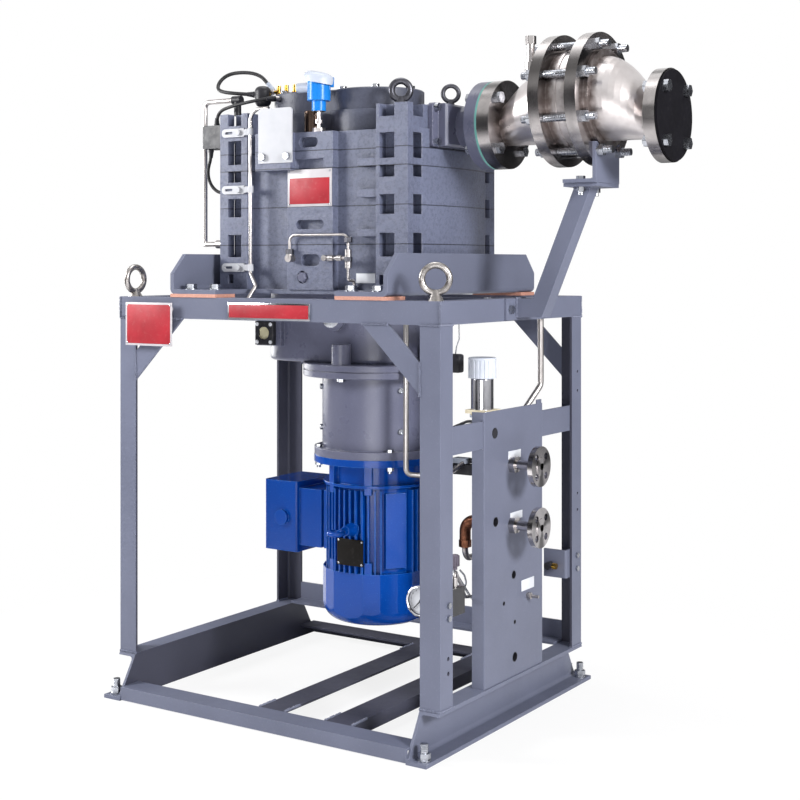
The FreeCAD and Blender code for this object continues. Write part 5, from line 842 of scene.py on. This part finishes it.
# %% Rivets
RIVET = [(0, -1.5), (1.6, -1.5), (1.6, 0), (2.6, 0), (2.4, 0.7), (1.5, 1.3), (0, 1.5)]
rivets = []
for x0, x1, z0, z1, y in ((-48, 78, 1160, 1246, -197.1), (74, 147, 338, 399, -170.0)):
    rivets += [((x, y, z), FRONT) for x in (x0 + 4.5, x1 - 4.5) for z in (z0 + 4.5, z1 - 4.5)]
rivets += [((x, -346.0, z), FRONT) for x in (-412, -278) for z in (841, 931)]
grow("plate_rivets", rivets, RIVET, 14, "zinc_plate", "zinc_steel")
# the upright axis of the coupling housing and the radius on which its screws sit
HOUSING_X, HOUSING_Y, HOUSING_R = 100, -40, 131
CAP_SCREW = [(0, -2), (4.0, -2), (6.5, 0), (6.5, 5.0), (5.6, 6.0), (3.4, 6.0), (3.4, 3.0), (0, 3.0)]
housing_screws = []
for deg, z in ((-33, 739), (-33, 645), (-140, 740), (-140, 645), (75, 739)):
    c, s = math.cos(math.radians(deg)), math.sin(math.radians(deg))
    housing_screws.append(((HOUSING_X + HOUSING_R * c, HOUSING_Y + HOUSING_R * s, z), (c, s, 0)))
grow("housing_screws", housing_screws, CAP_SCREW, 18, "zinc_plate", "zinc_steel")

# %% [markdown]
# ### Threads
# The eight long studs that clamp the arrester are threaded along their whole length, and so are the
# foot studs. A thread turn seen from the side is a small ridge, so each turn is one thin ring.

# %% Stud threads
PITCH = 3.6
RIDGE = [(7.6, -1.1), (8.7, -0.2), (8.7, 0.2), (7.6, 1.1)]
STUD_R = 123
FOOT_X, FOOT_Y = 431, 362
CORNERS = [(sx, sy) for sx in (-1, 1) for sy in (-1, 1)]
turns = []
for k in range(8):
    a = math.radians(22.5 + 45 * k)
    y, z = STUD_R * math.cos(a), ARRESTER_Z + STUD_R * math.sin(a)
    bracket = 8 if z < ARRESTER_Z - 100 else 0
    for x0, x1 in ((526, 538.5), (580, 639.5), (681 + bracket, 699 + bracket)):
        turns += [((x0 + PITCH * n, y, z), RIGHT) for n in range(int((x1 - x0) / PITCH))]
for sx, sy in CORNERS:
    turns += [((FOOT_X * sx, FOOT_Y * sy, 26 + PITCH * n), UP) for n in range(5)]
grow("stud_threads", turns, RIDGE, 16, "zinc_plate", "zinc_steel")

# %% [markdown]
# ### Weld beads
# The skid is welded by hand: the posts stand on the channels, the rails meet in mitres, the braces
# and the runners are tacked along their edges, and the arm is welded to its foot and head plates. A
# bead is a row of overlapping ripples under the paint. Their sizes vary a little from copy to copy.

# %% Welds
def bead(start, end, step=2.6):
    """Ripple places along a line, each leaning along it."""
    start, end = Vector(start), Vector(end)
    run = end - start
    count = max(2, int(run.length / step))
    return [((start + run * (k / count))[:], run.normalized()[:]) for k in range(count + 1)]


RIPPLE = [(0, -1.6), (2.2, -1.2), (3.1, 0), (2.2, 1.2), (0, 1.6)]
# the outer faces of the corner posts, the width of their legs, and the heights of their two ends
POST_X, POST_Y, LEG = 450, 330, 50
POST_FOOT, POST_HEAD = 100.5, 900
ripples = []
for sx, sy in CORNERS:
    x, x_in = sx * POST_X, sx * (POST_X - LEG)
    y, y_in = sy * POST_Y, sy * (POST_Y - LEG)
    for start, end in (
            ((x_in, y, POST_FOOT), (x, y, POST_FOOT)),
            ((x, y_in, POST_FOOT), (x, y, POST_FOOT)),
            ((sx * 444, y_in, POST_FOOT), (sx * 444, sy * 318, POST_FOOT)),
            ((x_in, y, POST_HEAD), (x, y, POST_HEAD)),
            ((x, y_in, POST_HEAD), (x, y, POST_HEAD)),
            ((x, y, 902), (x, y, 948)),
            ((sx * 254, y, 899.5), (sx * 319, y, 899.5)),
            ((sx * 399.5, y, 822), (sx * 399.5, y, 752))):
        ripples += bead(start, end)
for y in (320, -320):
    for x in (-32, 38, 150, 220):
        ripples += bead((x, y, 32), (x, y * 0.82, 32))
ripples += bead((457, -14, 909), (457, 26, 909)) + bead((457, -14, 950), (457, 26, 950))
for y in (-14, 26):
    ripples += bead((457, y, 909), (457, y, 950)) + bead((600, y, 1194), (640, y, 1194))
grow("weld_beads", ripples, RIPPLE, 8, "frame_paint", "frame_paint", 0.22, 7)

# %% [markdown]
# ## Pressure gauge
# A gauge has a bright rolled bezel, a white enamelled dial with a black scale over three quarters of
# a turn, and its needle on a small hub. The needle itself is a CAD node, since it moves.

# %% Gauge bezel and dial
GAUGE_X, GAUGE_Z = 366, 310
bezel = Bench("gauge_bezel", "chrome_plate", "chrome")
bezel.turned((GAUGE_X, -266, GAUGE_Z), FRONT, [(31.6, 0), (34.0, 0.5), (34.5, 8), (33.5, 12.5), (30.5, 14.2),
                                               (28.4, 13.0), (28.0, 9), (28.0, 6)], 56)
bezel.done(50)
dial = Bench("gauge_dial", "label_white", "sensor_white")
dial.turned((GAUGE_X, -271.9, GAUGE_Z), FRONT, rod(28.2, 0, 0.4), 56)
dial.done()

# %% [markdown]
# ### The gauge's scale
# The scale is a second small tree: one mark, copied round the dial at even angles. It runs twice, for
# the fine marks and for the long ones.

# %% Gauge scale
def scale_tree():
    """Marks on an arc: how many, how far out, from which angle and over how wide a sweep."""
    tree = new_tree("scale_marks", (("Geometry", "Geometry"), ("Count", "Int"), ("Radius", "Float"),
                                    ("Start", "Float"), ("Sweep", "Float"), ("Mark", "Vector"),
                                    ("Finish", "Material")))
    add = tree.nodes.new
    gate = add("NodeGroupInput")
    arc = add("GeometryNodeCurveArc")
    points = add("GeometryNodeCurveToPoints")
    points.mode = "COUNT"
    mark = add("GeometryNodeMeshCube")
    copies = add("GeometryNodeInstanceOnPoints")
    return wire_up(tree, gate, copies, [
        (gate.outputs["Count"], arc.inputs["Resolution"]),
        (gate.outputs["Radius"], arc.inputs["Radius"]),
        (gate.outputs["Start"], arc.inputs["Start Angle"]),
        (gate.outputs["Sweep"], arc.inputs["Sweep Angle"]),
        (arc.outputs["Curve"], points.inputs["Curve"]),
        (gate.outputs["Count"], points.inputs["Count"]),
        (gate.outputs["Mark"], mark.inputs["Size"]),
        (points.outputs["Points"], copies.inputs["Points"]),
        (points.outputs["Rotation"], copies.inputs["Rotation"]),
        (mark.outputs["Mesh"], copies.inputs["Instance"])])


MARKS = scale_tree()
FIRST_MARK, SWEEP = math.radians(-45), math.radians(270)
for name, count, radius, mark in (("scale_fine", 51, 24.6, (2.2, 0.3, 0.35)),
                                  ("scale_coarse", 11, 23.8, (3.8, 0.3, 0.9))):
    blank = bpy.data.meshes.new(name + "_points")
    blank.from_pydata([(0, 0, 0)], [], [])
    marks = run_tree(MARKS, blank, {
        "Count": count, "Radius": mm(radius), "Start": FIRST_MARK, "Sweep": SWEEP,
        "Mark": tuple(mm(v) for v in mark), "Finish": FINISH["needle_black"]})
    upright = Matrix.Rotation(math.radians(90), 4, "X")
    marks.transform(Matrix.Translation(at(GAUGE_X, -272.5, GAUGE_Z)) @ upright)
    marks.name = name
    hand_over(placed(name, marks))
    print(name, count, "marks,", len(marks.polygons), "faces")

# %% [markdown]
# ## Dark cups in the holes
# Black cups like small plugs sit in the spare holes of the panel: painted shade, so that each hole looks as
# dark as the shaded hollow behind it.

# %% Dark cups in the holes
shade_cups = Bench("hole_grommets", "black_plastic", "black_plastic")
for y, z, r in ((-95, 655, 12.0), (-91, 459, 11.0), (-8, 328, 9.5), (-54, 272, 5.0), (-3, 221, 5.0),
                (-3, 142, 11.0)):
    cup = [(0, 24), (r - 0.15, 24), (r - 0.15, 0), (r - 1.2, 0), (r - 1.2, 22.5), (0, 22.5)]
    shade_cups.turned((447.3, y, z), (-1, 0, 0), cup, 28)
shade_cups.done()

# %% [markdown]
# ## Small fittings and dressing
# What is left are the small bought parts: fittings and thin tubes round the valve behind the panel, a
# thin wire on the post, the round plug under the rail, the screws of the oil glass, the cap nuts of the
# bridging tube, and the bolt in the front plug hole.

# %% Small fittings
dark = Bench("dark_fittings", "black_plastic", "black_plastic")
dark.block((411, -119.2, 706), (417, -117.2, 724), 0.4)
dark.block((294, -34, 546), (352, -6, 570), 3.0)
# painted shade: a thin black disc over the top hole of the panel, like the cups
dark.turned((447.1, -95, 655), RIGHT, rod(12, 0, 0.5))
dark.block((322, -92, 783), (354, -68, 825), 5.0)
dark.tube([(300, -93, 641), (341, -93, 662), (376, -93, 677), (398, -93, 677)], 3.2, 30)
dark.turned((398, -93, 677), RIGHT, [(0, 0), (5.5, 0), (5.5, 14), (4.5, 16), (0, 16)], 18)
dark.done()
pale = Bench("pale_fittings", "cap_white", "sensor_white")
pale.turned((384, -93, 690), RIGHT, rod(4, 0, 16), 18)
pale.block((300, -32, 571), (338, -8, 584), 2.0)
pale.done()
bright = Bench("bright_fittings", "zinc_plate", "zinc_steel")
bright.tube([(346.4, -80, 896), (347, -80, 858), (340, -80, 842), (337, -80, 822)], 1.4, 16, 8)
bright.turned((53, -157, 905), FRONT, [(0, 0), (24, 0), (26, 2), (26, 8), (23, 10), (0, 10)], 32)
bright.tube([(352, -130, 362), (365, -130, 348), (408, -130, 293), (424, -130, 290)], 2.8, 20)
bright.tube([(372, -120, 350), (384, -120, 340), (389, -120, 324), (383, -120, 308)], 2.0, 14)
bright.done()
KNOB_X, KNOB_Y, KNOB_RIBS = 366, -130, 12
knob = Bench("valve_knob", "block_grey", "dark_steel")
for k in range(KNOB_RIBS):
    a = math.radians(360 / KNOB_RIBS * k)
    knob.turned((KNOB_X + 8 * math.cos(a), KNOB_Y + 8 * math.sin(a), 360), UP, rod(2.2, 0, 23), 8)
knob.turned((KNOB_X, KNOB_Y, 352), UP, [(0, 0), (5, 0), (5, 8), (8.5, 9), (8.5, 31), (7, 33), (0, 33)], 24)
knob.done()
glass_screws = Bench("glass_screws", "label_white", "zinc_steel")
for x, z in ((-150, 843), (-150, 885), (-110, 843), (-110, 885)):
    glass_screws.turned((x, -181.5, z), FRONT, [(0, 0), (4.6, 0), (4.6, 2), (3.2, 3.2), (0, 3.2)], 16)
glass_screws.done()
nuts = Bench("bridge_nuts", "forged_dark", "dark_steel")
for x, z in ((-35, 1050), (131, 1032), (131, 1076)):
    nuts.turned((x, -206, z), UP, [(0, 0), (8.6, 0), (9.6, 1.2), (9.6, 10.8), (8.6, 12), (0, 12)], 6)
nuts.done()
plug_bolt = Bench("plug_bolt", "housing_paint", "casting_paint")
plug_bolt.turned((-6, -186, 997), FRONT, rod(14.2, -3, 5))
plug_bolt.turned((-6, -186, 997), FRONT, [(0, 4), (12, 4), (12, 13), (10.5, 15), (0, 15)], 6)
plug_bolt.done()

# %% [markdown]
# ## Sensor hood
# The sensor's white cap is a moulded hood: a low dome that leans to one side, with a skirt that is cut
# away behind, where a tongue and a pin join it to the hinge. It moves with the cap of the CAD model,
# so it takes that cap's place.

# %% Sensor hood
HOOD_X, HOOD_Y, HOOD_R, HOOD_WALL, HOOD_SLOPE, HOOD_FOOT = 30, -180, 34.0, 2.6, 0.22, 1446.0
INNER_R = HOOD_R - HOOD_WALL
HOOD_SIDES, SKIRT, DOME = 44, 13.0, 13.0
# the skirt's cut behind: where it begins, the run over which it rises, the height that it aims at, and
# the most that it may rise above the hood's foot
CUT_START, CUT_RUN, CUT_TOP, CUT_RISE = -172, 10, 1459.5, 12.5
HINGE = (-140, 1458)
hood = Bench("sensor_hood", "cap_white", "sensor_white")


def hood_ring(radius, rise):
    """One ring of the hood; the lowest ring, without a rise, follows the skirt's cut edge."""
    ring = []
    for k in range(HOOD_SIDES):
        a = 2 * math.pi * k / HOOD_SIDES
        x, y = HOOD_X + radius * math.cos(a), HOOD_Y + radius * math.sin(a)
        z = HOOD_FOOT + (rise or 0.0) - (x - HOOD_X) * HOOD_SLOPE
        if rise is None:
            z = z + (CUT_TOP - z) * min(1.0, max(0.0, (y - CUT_START) / CUT_RUN))
            z = min(z, HOOD_FOOT + CUT_RISE - (x - HOOD_X) * HOOD_SLOPE)
        ring.append(hood.metal.verts.new(at(x, y, z)))
    return ring


shares = (0.96, 0.88, 0.76, 0.6, 0.4, 0.18)
rises = [SKIRT + DOME * math.sqrt(1 - share ** 3) for share in shares]
outside = [hood_ring(HOOD_R, None), hood_ring(HOOD_R, SKIRT)]
outside += [hood_ring(HOOD_R * share, rise) for share, rise in zip(shares, rises)]
inside = [hood_ring(INNER_R * share, rise - HOOD_WALL) for share, rise in zip(shares[::-1], rises[::-1])]
inside += [hood_ring(INNER_R, SKIRT - 0.1), hood_ring(INNER_R, None)]
rings = outside + inside
for low, high in zip(rings, rings[1:] + rings[:1]):
    if low is outside[-1]:
        hood.metal.faces.new(low)
        hood.metal.faces.new(high)
    else:
        hood.skin(low, high)
hood.block((24.3, -150, 1455.3), (35.7, HINGE[0], 1461.3), 0.4)
for x0, x1, radius in ((24.3, 35.7, 4.0), (18.0, 42.0, 2.0)):
    hood.turned((x0, *HINGE), RIGHT, rod(radius, 0, x1 - x0), 20)
hood_piece = hood.done(50, "sensor_lid")
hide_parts("sensor_lid")

# %% [markdown]
# ## Cables
# Three black sensor cables show. A cable is stiff: it leaves its gland straight and then swings in one
# even bow. A NURBS spline draws that well, because it is pulled towards its points without passing
# through them, and so has no kinks. The points are the same route as the CAD tube's.

# %% Cables
def cable(name, route, diameter):
    """A round cable on a NURBS spline through the route's points."""
    line = bpy.data.curves.new(name, "CURVE")
    line.dimensions = "3D"
    line.bevel_depth = mm(diameter / 2)
    line.bevel_resolution = 5
    line.resolution_u = 8
    line.use_fill_caps = True
    spline = line.splines.new("NURBS")
    spline.points.add(len(route) - 1)
    for point, place in zip(spline.points, route):
        point.co = (*at(*place), 1.0)
    spline.order_u = 3
    spline.use_endpoint_u = True
    line.materials.append(FINISH["cable_sheath"])
    piece = hand_over(placed(name, line))
    return piece


LOOP_ROUTE = [(-172, -98, 1450), (-190, -99, 1476), (-214, -102, 1492), (-250, -107, 1498.5),
              (-291.7, -112, 1497), (-309.6, -123.2, 1482.9), (-309.6, -138.9, 1463.1),
              (-291.7, -150, 1449), (-242, -149, 1441), (-192.8, -134, 1437)]
TOP_ROUTE = [(-122.57, -152.75, 1421), (-132, -170, 1420), (-158, -180, 1416), (-200, -181, 1411),
             (-238, -177, 1406), (-269, -172, 1400), (-284, -170.5, 1384.5), (-284, -170, 1362.3)]
DROP_ROUTE = [(-303, -170, 1306), (-303, -170, 1284), (-312.4, -170, 1261), (-312.4, -169, 1236),
              (-300.2, -167, 1213), (-278.2, -165, 1199), (-253, -165, 1199)]
loop = cable("loop_cable", LOOP_ROUTE, 9.0)
cable("top_cable", TOP_ROUTE, 8.0)
cable("drop_cable", DROP_ROUTE, 8.0)
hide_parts("cable_loop")

# %% [markdown]
# ### Strain reliefs
# A cable never leaves a housing bare: a soft tapered sleeve keeps it from breaking at the gland. The
# one beside the brass fittings is pale, the others are black.

# %% Strain reliefs
RIBS = 5


def relief_sleeve(bench, foot, toward, big, small, length):
    """A ribbed sleeve that tapers from the gland's nut to the cable."""
    outline = [(0, -3), (big, -3), (big, 5)]
    for k in range(RIBS):
        r = big - 1 + (small - big + 1) * k / (RIBS - 1)
        h = 6 + (length - 7) * k / RIBS
        outline += [(r, h), (r, h + 2.4), (r - 0.8, h + 2.8)]
    outline += [(small, length), (0, length)]
    bench.turned(foot, Vector(toward) - Vector(foot), outline, 20)


pale_relief = Bench("pale_relief", "cap_white", "sensor_white")
relief_sleeve(pale_relief, *LOOP_ROUTE[:2], 8.2, 5.3, 21)
pale_relief.done()
dark_reliefs = Bench("dark_reliefs", "black_plastic", "black_plastic")
relief_sleeve(dark_reliefs, *LOOP_ROUTE[:-3:-1], 8.0, 5.3, 22)
for route in (TOP_ROUTE, DROP_ROUTE):
    relief_sleeve(dark_reliefs, *route[:2], 7.2, 4.8, 20)
    relief_sleeve(dark_reliefs, *route[:-3:-1], 7.2, 4.8, 20)
dark_reliefs.done()
